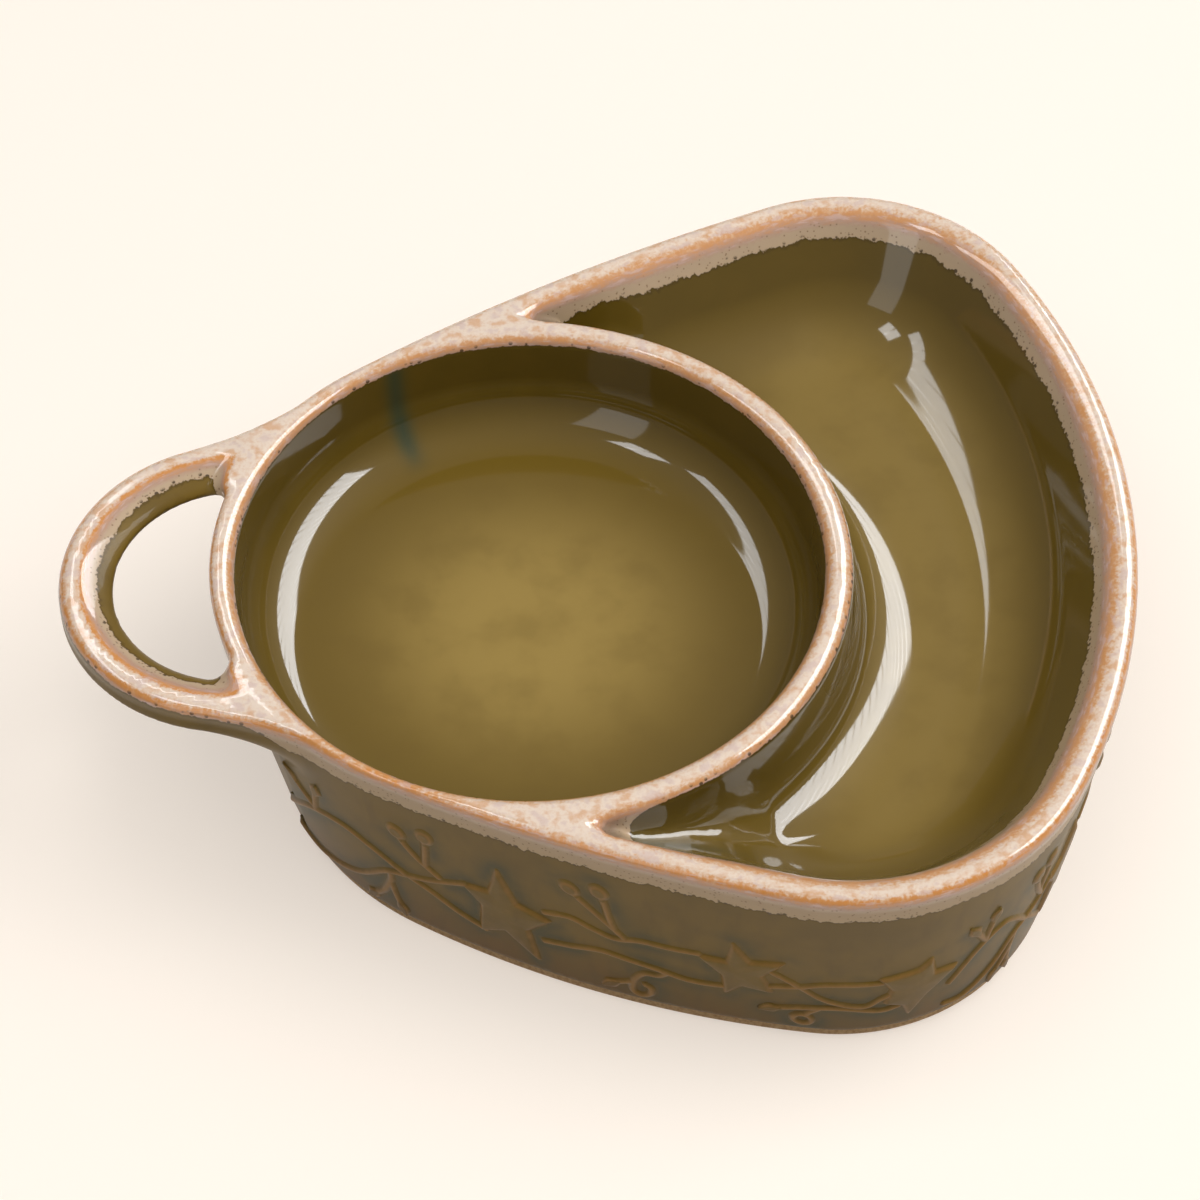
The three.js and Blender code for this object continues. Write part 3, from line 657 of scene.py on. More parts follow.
# Shared tone of the outer glaze: olive, browner towards the foot, with darker blue-green pools
tone = bpy.data.node_groups.new("outer_glaze_tone", "ShaderNodeTree")
tone.interface.new_socket("Pool", in_out="INPUT", socket_type="NodeSocketFloat")
tone.interface.new_socket("Colour", in_out="OUTPUT", socket_type="NodeSocketColor")
tone_in = tone.nodes.new("NodeGroupInput")
tone_out = tone.nodes.new("NodeGroupOutput")
place = object_place(tone)
split = tone.nodes.new("ShaderNodeSeparateXYZ")
tone.links.new(place, split.inputs[0])
cloud = noise(tone, place, 70, 3.0)
runs = noise(tone, stretched(tone, place, (1, 1, 0.25)), 260, 2.0)
settled = calc(tone, "ADD", split.outputs[2], calc(tone, "MULTIPLY", cloud, 0.012))
low_down = falls(tone, settled, 0.006, 0.032)
colour = blend(tone, low_down, srgb(118, 94, 36), srgb(106, 76, 20))
colour = blend(tone, calc(tone, "MULTIPLY", between(tone, cloud, 0.35, 0.7), 0.6), colour, srgb(100, 80, 32))
colour = blend(tone, calc(tone, "MULTIPLY", between(tone, runs, 0.5, 0.75), 0.3), colour, srgb(92, 72, 28))
gathered = calc(tone, "MULTIPLY", tone_in.outputs["Pool"], between(tone, cloud, 0.30, 0.62))
colour = blend(tone, calc(tone, "MULTIPLY", gathered, 0.75), colour, srgb(62, 66, 42))
tone.links.new(colour, tone_out.inputs["Colour"])

olive, tree, shader = new_finish("olive_glaze")
place = object_place(tree)
hanging = stretched(tree, place, (1, 1, 0.22))
drop_at = stored(tree, "drop")
band_at = stored(tree, "band")
outside_at = stored(tree, "outside")
streaks = noise(tree, hanging, 900, 3.0)
grain = noise(tree, place, 1700, 2.0)
cloud = noise(tree, place, 90, 3.0)
wave = noise(tree, hanging, 160, 2.0)

# Olive glaze inside, with painted shade: darker on the walls and in the coves, lighter on the level floors
inside = blend(tree, between(tree, stored(tree, "level"), 0.35, 1.0), srgb(90, 71, 14), srgb(108, 86, 22))
# Painted light: a lighter golden patch in the middle of the floors, fading out towards the walls
inside = blend(tree, stored(tree, "middle"), inside, srgb(152, 127, 62))
inside = blend(tree, calc(tree, "MULTIPLY", between(tree, cloud, 0.4, 0.75), 0.3), inside, srgb(104, 82, 22))
inside = blend(tree, calc(tree, "MULTIPLY", stored(tree, "teal"), 0.75), inside, srgb(36, 62, 48))
tone_node = tree.nodes.new("ShaderNodeGroup")
tone_node.node_tree = tone
tree.links.new(stored(tree, "pool"), tone_node.inputs["Pool"])
glaze = blend(tree, outside_at, inside, tone_node.outputs["Colour"])

# Pale rim glaze: it runs down in a ragged band, and breaks to mauve and amber over the shoulders
ragged = calc(tree, "MINIMUM", calc(tree, "MULTIPLY", band_at, 0.24), 1.7)
sway = calc(tree, "ADD", calc(tree, "SUBTRACT", streaks, 0.5), calc(tree, "SUBTRACT", wave, 0.5))
edge = calc(tree, "ADD", band_at, calc(tree, "MULTIPLY", sway, calc(tree, "MULTIPLY", ragged, 1.6)))
within = calc(tree, "SUBTRACT", edge, drop_at)
pale = between(tree, within, -0.12, 0.18)
mottle = calc(tree, "ADD", calc(tree, "SUBTRACT", grain, 0.5), calc(tree, "SUBTRACT", streaks, 0.5))
shown = calc(tree, "ADD", drop_at, calc(tree, "MULTIPLY", mottle, 0.9))
rim = ramp(tree, calc(tree, "DIVIDE", shown, 8.0), [
    (0.0, srgb(230, 212, 196)),
    (0.05, srgb(223, 195, 170)),
    (0.10, srgb(214, 172, 134)),
    (0.17, srgb(196, 151, 121)),
    (0.28, srgb(182, 148, 128)),
    (0.40, srgb(187, 163, 136)),
    (1.0, srgb(190, 167, 134)),
])
amber_top = between(tree, shown, 0.25, 0.8)
amber_foot = falls(tree, shown, 1.0, 1.8)
amber_share = calc(tree, "ADD", 0.55, calc(tree, "MULTIPLY", outside_at, 0.4))
amber_share = calc(tree, "MULTIPLY", amber_share, between(tree, streaks, 0.2, 0.6))
amber_share = calc(tree, "MULTIPLY", amber_share, calc(tree, "MULTIPLY", amber_top, amber_foot))
rim = blend(tree, amber_share, rim, srgb(208, 138, 66))

# Amber and mauve flecks that follow the rims: drawn out in plan, and fine across the shoulders
split = tree.nodes.new("ShaderNodeSeparateXYZ")
tree.links.new(place, split.inputs[0])
along_rim = tree.nodes.new("ShaderNodeCombineXYZ")
tree.links.new(split.outputs[0], along_rim.inputs[0])
tree.links.new(split.outputs[1], along_rim.inputs[1])
tree.links.new(calc(tree, "MULTIPLY", drop_at, 0.006), along_rim.inputs[2])
running = noise(tree, along_rim.outputs[0], 280, 3.0)
crest = falls(tree, shown, 1.6, 3.2)
amber_run = calc(tree, "MULTIPLY", between(tree, running, 0.5, 0.68), 0.55)
rim = blend(tree, calc(tree, "MULTIPLY", amber_run, crest), rim, srgb(206, 144, 84))
mauve_run = calc(tree, "MULTIPLY", falls(tree, running, 0.34, 0.48), 0.5)
rim = blend(tree, calc(tree, "MULTIPLY", mauve_run, crest), rim, srgb(206, 180, 176))


def pin_spots(tree, place, scale, size, share):
    """Round spots scattered over the glaze, in a share of the cells of a net."""
    cells = tree.nodes.new("ShaderNodeTexVoronoi")
    cells.inputs["Scale"].default_value = scale
    tree.links.new(place, cells.inputs["Vector"])
    chosen = tree.nodes.new("ShaderNodeSeparateColor")
    tree.links.new(cells.outputs["Color"], chosen.inputs[0])
    dot = falls(tree, cells.outputs["Distance"], 0.6 * size, size)
    return calc(tree, "MULTIPLY", dot, calc(tree, "LESS_THAN", chosen.outputs[0], share))


fine_spots = calc(tree, "MULTIPLY", pin_spots(tree, place, 1150, 0.32, 0.45), between(tree, shown, 1.6, 3.2))
rim = blend(tree, calc(tree, "MULTIPLY", fine_spots, 0.65), rim, srgb(122, 92, 60))
at_edge = falls(tree, calc(tree, "ABSOLUTE", within), 0.3, 1.1)
edge_spots = calc(tree, "MULTIPLY", pin_spots(tree, place, 640, 0.38, 0.8), at_edge)
rim = blend(tree, calc(tree, "MULTIPLY", edge_spots, 0.9), rim, srgb(64, 46, 24))
shade_line = calc(tree, "MULTIPLY", between(tree, within, -0.7, -0.1), 0.5)
glaze = blend(tree, shade_line, glaze, srgb(66, 48, 16))
finish = blend(tree, pale, glaze, rim)
tree.links.new(finish, shader.inputs["Base Color"])
fired_gloss(shader)
low_outside = calc(tree, "MULTIPLY", outside_at, between(tree, drop_at, 2.0, 4.5))
bright = calc(tree, "SUBTRACT", 1.0, calc(tree, "MULTIPLY", low_outside, 0.85))
tree.links.new(bright, shader.inputs["Coat Weight"])
skin_mesh.materials.clear()
skin_mesh.materials.append(olive)
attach(body, "root")
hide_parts("base_slab", "outer_wall", "outer_lip", "bowl_divider", "divider_lip", "bowl_floor",
            "tray_floor", "handle_loop")

# Foot ring. The bare edge of buff clay on which the dish stands, wiped clean of glaze before the firing. It
# is cut from a strip of clay and stuck under the wall, a step in from the wall's face.
FOOT_OUTER = -0.0052
FOOT_INNER = -0.0102
FOOT_ROUND = 0.0006
FOOT_TOP = BASE_LEVEL + 0.0006
FOOT_SPACING = 0.002
foot_section = [
    (FOOT_OUTER - FOOT_ROUND, 0.0),
    (FOOT_OUTER, FOOT_ROUND),
    (FOOT_OUTER, FOOT_TOP),
    (FOOT_INNER, FOOT_TOP),
    (FOOT_INNER, FOOT_ROUND),
    (FOOT_INNER + FOOT_ROUND, 0.0),
]
bm = bmesh.new()
loops = []
for offset, level in foot_section:
    plan = rim_points(offset, 1.0, FOOT_SPACING)
    ring = [bm.verts.new((bowl_at[0] + x, bowl_at[1] + y, level)) for x, y in plan]
    loops.append([bm.edges.new((ring[i - 1], ring[i])) for i in range(len(ring))])
for i in range(len(loops)):
    bmesh.ops.bridge_loops(bm, edges=loops[i - 1] + loops[i])
bmesh.ops.recalc_face_normals(bm, faces=bm.faces)
foot = placed("bare_foot", bm)
clay, tree, shader = new_finish("bare_clay")
speck = noise(tree, object_place(tree), 1400, 3.0)
buff = blend(tree, between(tree, speck, 0.35, 0.75), srgb(196, 164, 122), srgb(166, 130, 88))
tree.links.new(buff, shader.inputs["Base Color"])
shader.inputs["Roughness"].default_value = 0.85
foot.data.materials.append(clay)
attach(foot, "root")
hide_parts("foot_ring")

# Stars. Five-legged sprigs pressed in a mould and stuck to the outer wall before glazing. The glaze runs off
# their edges, which show as tan lines, and stays on their slightly domed middles.
STAR_PLACES = (0.091, 0.142, 0.181, 0.227, 0.273, 0.319, 0.365, 0.411, 0.457, 0.503)
STAR_ROUND = 0.0004
STAR_RELIEF = 0.0007
STAR_BEVEL = 0.0013
STAR_DOME = 0.0003
STAR_DOME_REACH = 0.0025
STAR_SPREAD = 0.0003
STAR_LINE_IN = 0.0004
STAR_LINE_WIDTH = 0.0005
STAR_FACE_IN = 0.001
STAR_MARGIN = 0.0016

# Three moulds: each star's height on the wall, then its legs and notches in millimetres from its centre,
# clockwise from the upper leg
TALL_STAR = (0.0236, [
    (0, 16.5), (3, 5.5), (10, 2.5), (4.5, -3.5), (5.5, -15),
    (-1, -7), (-7, -10.5), (-5.5, 0.5), (-9, 6), (-3, 7),
])
EVEN_STAR = (0.0263, [
    (-1, 10), (2, 4), (9, 5.5), (4, -1), (5.5, -7.5),
    (-0.5, -6.5), (-4.5, -11), (-4.5, -3.5), (-9, 2.5), (-3, 2.5),
])
LEANING_STAR = (0.0220, [
    (2, 9.5), (3, 3), (8.5, 2.5), (1.5, -6), (-2.5, -13.5),
    (-4, -8.5), (-8.5, -6.5), (-7, -0.5), (-9.5, 4.5), (-1, 6),
])
POOL_REACH = 0.0010
SPRIG_SEAT = -0.0009
SPRIG_EDGE = -0.00012
SPRIG_SINK = -0.00003
SPRIG_LEAST = -0.00002
SPRIG_STEP = 0.0003
SAME_STRETCH = 0.02

plain_arcs = rim_arcs(0.0)
arc_lengths = [radius * sweep for _, _, radius, _, sweep in plain_arcs]
rim_length = sum(arc_lengths)
bowl_end_middle = plain_arcs[0][2] * ((math.pi - plain_arcs[0][3]) % math.tau)


def rim_spot(along, offset, share):
    """Plan points at distances along the rim, set off outwards from its centre line."""
    left = (along + bowl_end_middle) % rim_length
    x = np.zeros_like(left)
    y = np.zeros_like(left)
    passed = 0.0
    for (cx, cy, radius, start, sweep), length in zip(rim_arcs(share), arc_lengths):
        angle = start + sweep * (left - passed) / length
        here = (left >= passed) & (left <= passed + length)
        x = np.where(here, cx + (radius + offset) * np.cos(angle), x)
        y = np.where(here, cy + (radius + offset) * np.sin(angle), y)
        passed += length
    return x, y


def wall_face(points):
    past, _, _, z = plan_of(points)
    return outer_side(past, z)


def on_wall(along, z, level):
    """Points on the outer wall at distances along it and heights, standing out of it by a level."""
    offset = LIP_HALF - OUTER_TAPER * (RIM_TOP - z)
    share = np.clip((WALL_TOP - z) / WALL_TOP, 0, 1)
    rim_x, rim_y = rim_spot(along, offset, 0.0)
    foot_x, foot_y = rim_spot(along, offset, 1.0)
    x = rim_x + (foot_x - rim_x) * share
    y = rim_y + (foot_y - rim_y) * share
    return settle(wall_face, np.stack([x, y, z], axis=1) + bowl_at, level=level, rounds=3)


def wall_place(points):
    """Distances along the rim of points near the outer wall."""
    x, y, z = (points - bowl_at).T
    share = np.clip((WALL_TOP - z) / WALL_TOP, 0, 1)
    places = []
    for end in (0.0, 1.0):
        reach = np.full(x.shape, -1.0)
        along = np.zeros_like(x)
        passed = 0.0
        for (cx, cy, radius, start, sweep), length in zip(rim_arcs(end), arc_lengths):
            turned = (np.arctan2(y - cy, x - cx) - start) % math.tau
            beyond = np.hypot(x - cx, y - cy) - radius
            better = (turned <= sweep) & (beyond > reach)
            reach = np.where(better, beyond, reach)
            along = np.where(better, passed + length * turned / sweep, along)
            passed += length
        places.append(along)
    at_rim, at_foot = places
    between_both = at_rim + (at_foot - at_rim) * share
    along = np.where(np.abs(at_foot - at_rim) < SAME_STRETCH, between_both, at_rim)
    return (along - bowl_end_middle) % rim_length


def line_distance(s, z, line):
    """Distance from points to a run of straight steps."""
    nearest = np.full(s.shape, 1.0)
    for (s0, z0), (s1, z1) in zip(line[:-1], line[1:]):
        run_s = s1 - s0
        run_z = z1 - z0
        share = np.clip(((s - s0) * run_s + (z - z0) * run_z) / (run_s ** 2 + run_z ** 2 + 1e-12), 0, 1)
        nearest = np.minimum(nearest, np.hypot(s - s0 - share * run_s, z - z0 - share * run_z))
    return nearest


def bell(value):
    return np.where(np.abs(value) < 1, (1 - np.minimum(value ** 2, 1)) ** 2, 0)


def star_corners(mould, centre):
    height, corners = mould
    return [(centre + x / 1000, height + z / 1000) for x, z in corners]


def star_distance(s, z, corners):
    """Distance outside a star's edge, negative inside it."""
    inside = np.zeros(s.shape, bool)
    for (s0, z0), (s1, z1) in zip(corners, corners[1:] + corners[:1]):
        crosses = (z0 > z) != (z1 > z)
        meets = s0 + (z - z0) * (s1 - s0) / (z1 - z0 + 1e-12)
        inside ^= crosses & (s < meets)
    gap = line_distance(s, z, corners + corners[:1])
    return np.where(inside, -gap, gap) - STAR_ROUND


def star_form(s, z, corners):
    """Height of a star's surface over the wall, how thin its glaze lies, and the distance outside it."""
    out = star_distance(s, z, corners)
    rise = ease((STAR_SPREAD - out) / STAR_BEVEL)
    dome = 1 - np.exp(np.minimum(out, 0) / STAR_DOME_REACH)
    level = STAR_RELIEF * rise + STAR_DOME * dome + SPRIG_SINK
    edge_line = np.exp(-((out + STAR_LINE_IN) / STAR_LINE_WIDTH) ** 2)
    thin = 0.6 * edge_line + 0.2 * ease(-out / STAR_FACE_IN)
    return level, thin, np.maximum(out, 0)


def pooled(gap):
    """Share of thick glaze at a distance beside a sprig: none on it, and most a little way off."""
    return gap / POOL_REACH * np.exp(1 - gap / POOL_REACH)


def sprig(name, low, high, form):
    """A raised sprig: the part of a fine net on the wall where its form stands out, closed behind."""
    bm = bmesh.new()
    across = max(2, round((high[0] - low[0]) / SPRIG_STEP))
    upwards = max(2, round((high[1] - low[1]) / SPRIG_STEP))
    bmesh.ops.create_grid(bm, x_segments=across, y_segments=upwards, size=0.5)
    flat = np.array([vert.co[:2] for vert in bm.verts])
    s = low[0] + (flat[:, 0] + 0.5) * (high[0] - low[0])
    z = low[1] + (flat[:, 1] + 0.5) * (high[1] - low[1])
    level, _, _ = form(s, z)
    for vert, along, up, rise in zip(bm.verts, s, z, level):
        vert.co = (along, up, rise)
    sunk = [face for face in bm.faces if max(vert.co[2] for vert in face.verts) < SPRIG_LEAST]
    bmesh.ops.delete(bm, geom=sunk, context="FACES")
    for vert in bm.verts:
        if vert.is_boundary:
            vert.co[2] = SPRIG_EDGE
    raised = bmesh.ops.extrude_face_region(bm, geom=list(bm.faces))["geom"]
    front = [part for part in raised if isinstance(part, bmesh.types.BMVert)]
    shown = set(front)
    for vert in bm.verts:
        if vert not in shown:
            vert.co[2] = SPRIG_SEAT
    bmesh.ops.recalc_face_normals(bm, faces=bm.faces)
    piece = placed(name, bm)
    mesh = piece.data
    s, z, level = points_of(mesh).T
    _, thin, gap = form(s, z)
    put_points(mesh, on_wall(s, z, level))
    store(mesh, "thin", np.clip(thin, 0, 1))
    store(mesh, "pool", pooled(gap))
    mesh.shade_smooth()
    mesh.materials.append(relief)
    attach(piece, "root")
    return piece


relief, tree, shader = new_finish("relief_glaze")
place = object_place(tree)
tone_node = tree.nodes.new("ShaderNodeGroup")
tone_node.node_tree = tone
tree.links.new(stored(tree, "pool"), tone_node.inputs["Pool"])
uneven = calc(tree, "MULTIPLY", calc(tree, "SUBTRACT", noise(tree, place, 500, 2.0), 0.5), 0.6)
worn = between(tree, calc(tree, "ADD", stored(tree, "thin"), uneven), 0.1, 1.0)
edges = blend(tree, worn, tone_node.outputs["Colour"], srgb(146, 110, 58))
tree.links.new(edges, shader.inputs["Base Color"])
fired_gloss(shader)
shader.inputs["Coat Weight"].default_value = 0.15

stars = []
for i, centre in enumerate(STAR_PLACES):
    corners = star_corners((TALL_STAR, EVEN_STAR, LEANING_STAR)[i % 3], centre)
    spots = np.array(corners)
    star = sprig(
        f"star_sprig_{i + 1}",
        tuple(spots.min(axis=0) - STAR_MARGIN),
        tuple(spots.max(axis=0) + STAR_MARGIN),
        lambda s, z, corners=corners: star_form(s, z, corners),
    )
    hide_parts(f"star_{i + 1}")
    stars.append(corners)

# Vine. Thin rolled stems with buds, ring-shaped berries and curls, stuck on between the stars. The glaze
# breaks to tan along the stems and gathers darker beside them.
VINE_START = 0.031
VINE_TAIL = 0.038
STAR_REACH = 0.0075
STEM_HALF = 0.00115
STEM_RELIEF = 0.0006
BERRY_R = 0.0023
BERRY_RELIEF = 0.0008
BUD_LENGTH = 0.0056
BUD_WIDTH = 0.0032
BUD_RELIEF = 0.0007
RING_R = 0.0020
VINE_MARGIN = 0.005
STRANDS_IN_BAY = (1, 2, 1, 1, 2, 1, 1, 2, 1, 1, 2)

# Bays of vine. Stems are points of [part of the bay, height in millimetres], and a twig runs from its first
# point to its last, where it carries a berry, a bud or a ring.
CROSSED = {
    "stems": [
        [(0, 16.4), (0.225, 27), (0.41, 30.9), (0.55, 28.5), (0.68, 23.9), (0.8, 20.5), (0.92, 16.2),
         (1.03, 13.6)],
        [(-0.01, 6.7), (0.13, 6.2), (0.28, 8.4), (0.44, 13), (0.59, 20.3), (0.69, 22.7), (0.81, 25),
         (0.98, 29.5)],
    ],
    "twigs": [
        ("berry", [(0.86, 28), (0.78, 32.5), (0.73, 36.9), (0.71, 40.4)]),
        ("berry", [(0.81, 31), (0.83, 38), (0.84, 42.6)]),
        ("bud", [(0.26, 29), (0.19, 33), (0.145, 35.4)]),
        ("bud", [(0.26, 29), (0.285, 34), (0.31, 38.2)]),
        ("bud", [(0.62, 20.5), (0.606, 17), (0.55, 11.1), (0.48, 6.8)]),
        ("bud", [(0.606, 17), (0.613, 11.3), (0.63, 6.9)]),
    ],
}
PARALLEL = {
    "stems": [
        [(0.05, 29.3), (0.2, 30.5), (0.32, 28.7), (0.46, 27), (0.62, 28.6), (0.79, 28.7), (0.96, 29.2)],
        [(0.01, 17.4), (0.17, 18.6), (0.36, 20.3), (0.53, 19.5), (0.68, 18.7), (0.88, 17), (1.07, 17.6)],
        [(0.74, 17.6), (0.69, 16), (0.61, 15.5), (0.55, 12.9), (0.52, 9.8), (0.52, 7), (0.57, 6.1),
         (0.62, 7.4), (0.63, 9.8), (0.6, 10.8)],
    ],
    "twigs": [
        ("berry", [(0.52, 28.4), (0.4, 34.1), (0.28, 39.7), (0.24, 42.4)]),
        ("berry", [(0.47, 31), (0.45, 35.8), (0.44, 40), (0.42, 44.2)]),
        ("bud", [(0.52, 10.9), (0.43, 9.1), (0.385, 8)]),
    ],
}
BRAIDED = {
    "stems": [
        [(-0.09, 21), (0.17, 22.8), (0.45, 24.8), (0.93, 24.8)],
        [(-0.07, 27.6), (0.13, 23.6), (0.34, 18.6), (0.57, 15.8), (0.77, 14.9), (0.91, 17.4), (1.03, 19.4)],
    ],
    "twigs": [
        ("bud", [(1.1, 13.3), (0.92, 12.2), (0.62, 13.9), (0.42, 14.3), (0.15, 13.5), (0.01, 12.6),
                 (-0.12, 11.7)]),
        ("ring", [(0.31, 13.6), (0.21, 11.6), (0.15, 8.6)]),
    ],
}


def curve_through(points, steps=8):
    """A smooth run of points through the given ones."""
    ends = [np.array(point) for point in points]
    ends = [2 * ends[0] - ends[1], *ends, 2 * ends[-1] - ends[-2]]
    run = []
    for a, b, c, d in zip(ends, ends[1:], ends[2:], ends[3:]):
        for k in range(steps):
            t = k / steps
            bend = 2 * a - 5 * b + 4 * c - d
            turn = 3 * b - a - 3 * c + d
            run.append(0.5 * (2 * b + (c - a) * t + bend * t ** 2 + turn * t ** 3))
    run.append(ends[-2])
    return [tuple(point) for point in run]


def bay_layout(bay, start, end):
    """Stems as lines, and ends of twigs as their kind, place and direction, in metres on the wall."""
    def place(point):
        return (start + point[0] * (end - start), point[1] / 1000)

    lines = [curve_through([place(point) for point in stem]) for stem in bay["stems"]]
    ends = []
    for kind, twig in bay["twigs"]:
        run = curve_through([place(point) for point in twig])
        heading = math.atan2(run[-1][1] - run[-3][1], run[-1][0] - run[-3][0])
        if kind == "ring":
            middle = run[-1]
            first = math.atan2(run[-2][1] - middle[1], run[-2][0] - middle[0])
            run = [point for point in run if math.dist(point, middle) > RING_R]
            run += [
                (middle[0] + RING_R * math.cos(first + turn), middle[1] + RING_R * math.sin(first + turn))
                for turn in np.linspace(0, math.tau, 22)
            ]
        else:
            ends.append((kind, run[-1], heading))
        lines.append(run)
    return lines, ends


def vine_form(s, z, layout):
    """Height of a bay's vine over the wall, how thin its glaze lies, and the distance outside it."""
    lines, ends = layout
    level = np.full(s.shape, SPRIG_SINK)
    thin = np.zeros(s.shape)
    gap = np.full(s.shape, 1.0)
    for line in lines:
        away = line_distance(s, z, line)
        level = np.maximum(level, STEM_RELIEF * bell(away / STEM_HALF) ** 0.8 + SPRIG_SINK)
        thin = np.maximum(thin, 0.9 * bell(away / STEM_HALF))
        gap = np.minimum(gap, np.maximum(away - 0.8 * STEM_HALF, 0))
    for kind, (at_s, at_z), heading in ends:
        along = (s - at_s) * math.cos(heading) + (z - at_z) * math.sin(heading)
        across = (z - at_z) * math.cos(heading) - (s - at_s) * math.sin(heading)
        if kind == "berry":
            away = np.hypot(along * 0.85, across * 1.1) / BERRY_R
            form = BERRY_RELIEF * (bell(away / 1.15) ** 0.5 - 0.3 * bell(away / 0.62))
        else:
            run = np.abs(along) / (0.5 * BUD_LENGTH)
            half_width = 0.5 * BUD_WIDTH * np.clip(1 - run ** 1.6, 0.02, 1)
            away = np.hypot(across / half_width, np.maximum(run - 0.9, 0) * 4)
            form = BUD_RELIEF * (bell(away / 1.2) ** 0.5 - 0.2 * bell(away / 0.5))
        level = np.maximum(level, form + SPRIG_SINK)
        glint = 0.8 * np.exp(-((away - 0.72) / 0.22) ** 2)
        thin = np.where(away < 1.1, np.maximum(glint, 0.3), thin)
        gap = np.minimum(gap, np.maximum(away - 1, 0) * BERRY_R)
    return level, thin, gap


bay_ends = [VINE_START - STAR_REACH, *STAR_PLACES, rim_length - VINE_TAIL + STAR_REACH]
layouts = []
for i, strands in enumerate(STRANDS_IN_BAY):
    bay = (CROSSED, PARALLEL, BRAIDED)[i % 3]
    layout = bay_layout(bay, bay_ends[i] + STAR_REACH, bay_ends[i + 1] - STAR_REACH)
    spots = [point for line in layout[0] for point in line] + [place for _, place, _ in layout[1]]
    spots = np.array(spots)
    vine = sprig(
        f"vine_sprig_{i + 1}",
        tuple(spots.min(axis=0) - VINE_MARGIN),
        tuple(spots.max(axis=0) + VINE_MARGIN),
        lambda s, z, layout=layout: vine_form(s, z, layout),
    )
    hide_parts(*[f"vine_{i + 1}_{k + 1}" for k in range(strands)])
    layouts.append((spots[:, 0].min(), spots[:, 0].max(), layout))

# The glaze on the wall pools beside the sprigs
POOL_MARGIN = 0.008
STAR_POOL_HALF = 0.025
FACE_SLACK = 0.0006
FACE_TOP = 0.050
FACE_LEVEL = 0.3
pool = np.zeros(len(skin_points))
upright = (height < FACE_TOP) & (skin_normals[:, 2] < FACE_LEVEL)
on_face = np.flatnonzero((np.abs(side) < FACE_SLACK) & upright)
face_s = wall_place(skin_points[on_face])
face_z = height[on_face]
face_gap = np.full(len(on_face), 1.0)
for low, high, layout in layouts:
    here = np.flatnonzero((face_s > low - POOL_MARGIN) & (face_s < high + POOL_MARGIN))
    face_gap[here] = np.minimum(face_gap[here], vine_form(face_s[here], face_z[here], layout)[2])
for corners in stars:
    here = np.flatnonzero(np.abs(face_s - corners[0][0]) < STAR_POOL_HALF)
    star_gap = np.maximum(star_distance(face_s[here], face_z[here], corners), 0)
    face_gap[here] = np.minimum(face_gap[here], star_gap)
pool[on_face] = pooled(face_gap)
store(skin_mesh, "pool", pool)

# Stage. A plain cream paper floor, a camera that looks down at the table from standing height, and soft lamps
# on arcs around the dish, which its gloss shows as narrow strips.
FLOOR_HALF = 3.0
PAPER_GLOW = 0.5
bm = bmesh.new()
bmesh.ops.create_grid(bm, x_segments=1, y_segments=1, size=FLOOR_HALF)
floor = placed("floor", bm)
paper, tree, shader = new_finish("cream_paper")
shader.inputs["Base Color"].default_value = (0.55, 0.51, 0.465, 1)
shader.inputs["Emission Color"].default_value = (1, 0.905, 0.82, 1)
ray = tree.nodes.new("ShaderNodeLightPath")
looked_at = calc(tree, "MAXIMUM", ray.outputs["Is Camera Ray"], ray.outputs["Is Glossy Ray"])
looked_at = calc(tree, "MAXIMUM", looked_at, ray.outputs["Is Transmission Ray"])
tree.links.new(calc(tree, "MULTIPLY", looked_at, PAPER_GLOW), shader.inputs["Emission Strength"])
shader.inputs["Roughness"].default_value = 0.9
shader.inputs["Specular IOR Level"].default_value = 0.0
floor.data.materials.append(paper)

CAMERA_AZIMUTH = math.radians(-3.63)
CAMERA_RISE = math.radians(50.96)
CAMERA_ROLL = math.radians(0.4)
CAMERA_DISTANCE = 0.8397
CAMERA_AIM = (0.01424, -0.01057, 0.0575)


def stand_at(place, right, up, back):
    """Matrix that puts a camera or a lamp at a place with its three axes turned."""
    turned = np.array([right, up, back]).T
    rows = [[*row, spot] for row, spot in zip(turned, place)]
    return Matrix([*rows, [0, 0, 0, 1]])


back = np.array([
    math.sin(CAMERA_AZIMUTH) * math.cos(CAMERA_RISE),
    -math.cos(CAMERA_AZIMUTH) * math.cos(CAMERA_RISE),
    math.sin(CAMERA_RISE),
])
level_right = np.array([math.cos(CAMERA_AZIMUTH), math.sin(CAMERA_AZIMUTH), 0.0])
level_up = np.cross(back, level_right)
right = math.cos(CAMERA_ROLL) * level_right + math.sin(CAMERA_ROLL) * level_up
up = np.cross(back, right)
stand = bowl_at + np.array(CAMERA_AIM) + back * CAMERA_DISTANCE
lens = bpy.data.cameras.new("camera")
lens.lens = 120
lens.sensor_width = 36
lens.clip_start = 0.01
camera = bpy.data.objects.new("camera", lens)
camera.matrix_world = stand_at(stand, right, up, back)
bpy.context.collection.objects.link(camera)
bpy.context.scene.camera = camera


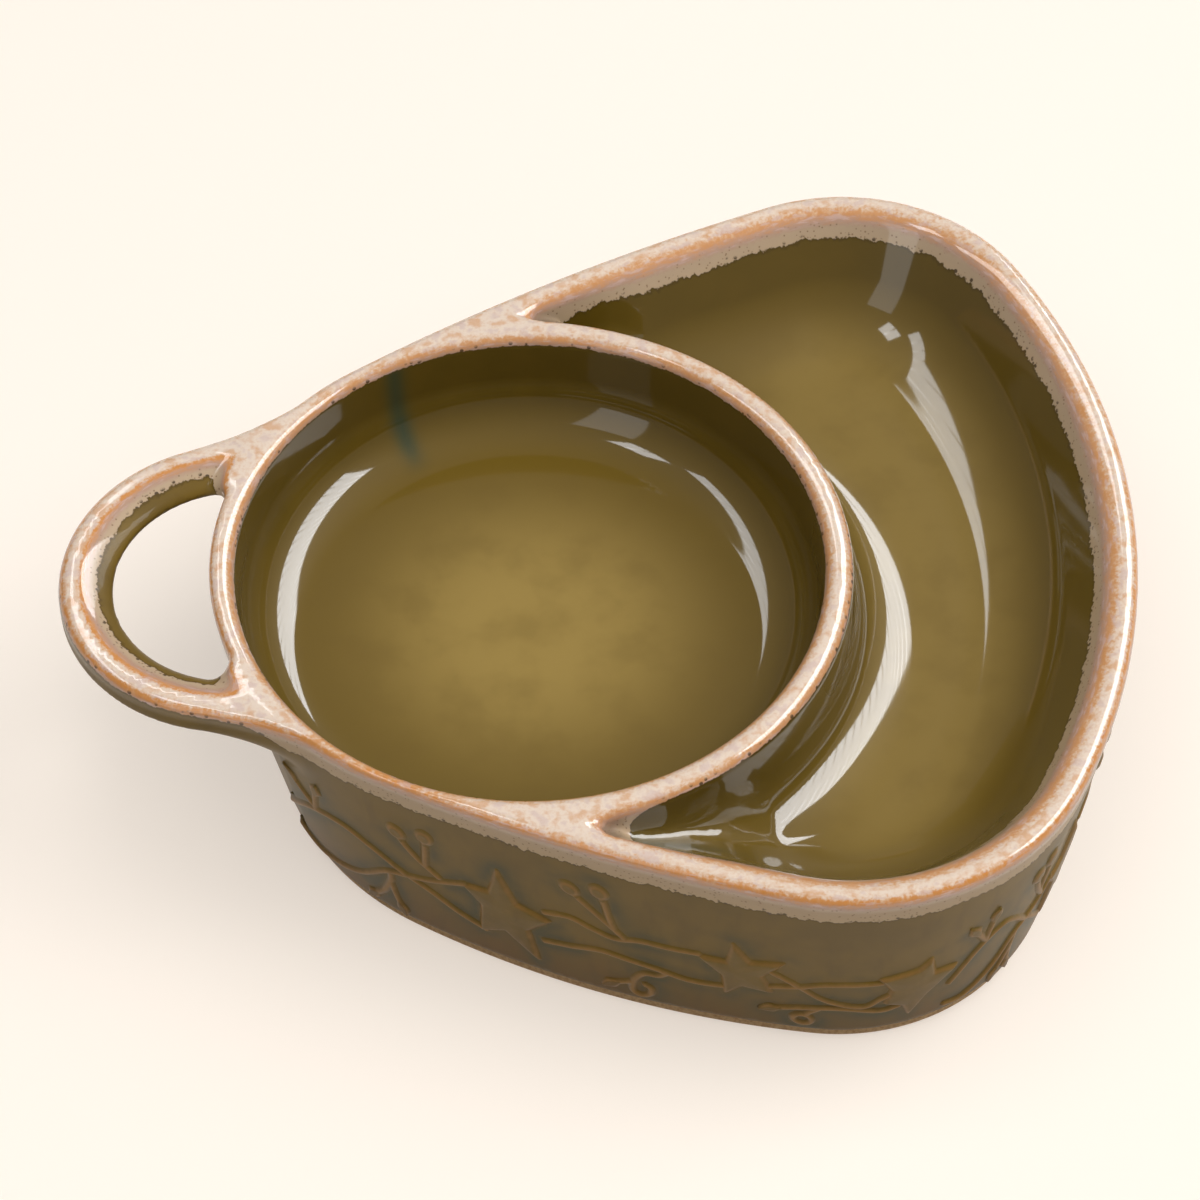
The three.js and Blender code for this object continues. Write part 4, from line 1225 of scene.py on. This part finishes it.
def lamp(name, place, aim, size, radiance, colour):
    """A flat softbox of the given width and height and brightness."""
    light = bpy.data.lights.new(name, "AREA")
    light.shape = "RECTANGLE"
    light.size, light.size_y = size
    light.energy = radiance * math.pi * size[0] * size[1]
    light.color = colour
    holder = bpy.data.objects.new(name, light)
    facing = np.array(place) - np.array(aim)
    facing = facing / np.linalg.norm(facing)
    side = np.cross((0, 0, 1), facing)
    side = side / np.linalg.norm(side)
    rise = np.cross(facing, side)
    holder.matrix_world = stand_at(place, side, rise, facing)
    bpy.context.collection.objects.link(holder)
    return holder


def around(azimuth, rise, distance):
    """Place at a turn to the right of straight back, at a rise above the table."""
    turn = math.radians(azimuth)
    climb = math.radians(rise)
    flat = distance * math.cos(climb)
    return (flat * math.sin(turn), flat * math.cos(turn), distance * math.sin(climb))


WARM_WHITE = (1, 0.98, 0.95)
COOL_WHITE = (0.96, 0.98, 1)
SOFTBOX_AWAY = 2.2
SOFTBOX_AIM = (0, 0, 0.03)


def arc_of_lamps(name, first, last, count, rise, tall, radiance):
    """Softboxes side by side on an arc around the dish, which only its gloss shows."""
    step = (last - first) / count
    wide = 2 * SOFTBOX_AWAY * math.tan(math.radians(step / 2)) * math.cos(math.radians(rise))
    size = (wide, 2 * SOFTBOX_AWAY * math.tan(math.radians(tall / 2)))
    for k in range(count):
        place = around(first + (k + 0.5) * step, rise, SOFTBOX_AWAY)
        box = lamp(f"{name}_{k + 1}", place, SOFTBOX_AIM, size, radiance, COOL_WHITE)
        box.visible_diffuse = False


arc_of_lamps("right_box", first=22, last=108, count=20, rise=41, tall=20, radiance=8.5)
arc_of_lamps("left_box", first=-95, last=-10, count=8, rise=52, tall=8, radiance=5.0)
arc_of_lamps("left_end_box", first=-124, last=-97, count=2, rise=65, tall=9, radiance=6.0)
arc_of_lamps("window", first=-154, last=-132, count=1, rise=35, tall=40, radiance=1.2)
fills = [
    lamp("tent_top", (0, -0.5, 1.8), (0, -0.4, 0), (2.2, 2.2), 1.8, WARM_WHITE),
    lamp("tent_right", around(85, 50, SOFTBOX_AWAY), SOFTBOX_AIM, (1.6, 1.6), 2.9, WARM_WHITE),
]
for fill in fills:
    fill.visible_glossy = False

world = bpy.data.worlds.new("studio")
bpy.context.scene.world = world
world.use_nodes = True
sky = world.node_tree.nodes["Background"]
sky.inputs["Color"].default_value = (1, 0.97, 0.93, 1)
sky.inputs["Strength"].default_value = 0.2
bpy.context.scene.view_settings.view_transform = "Standard"
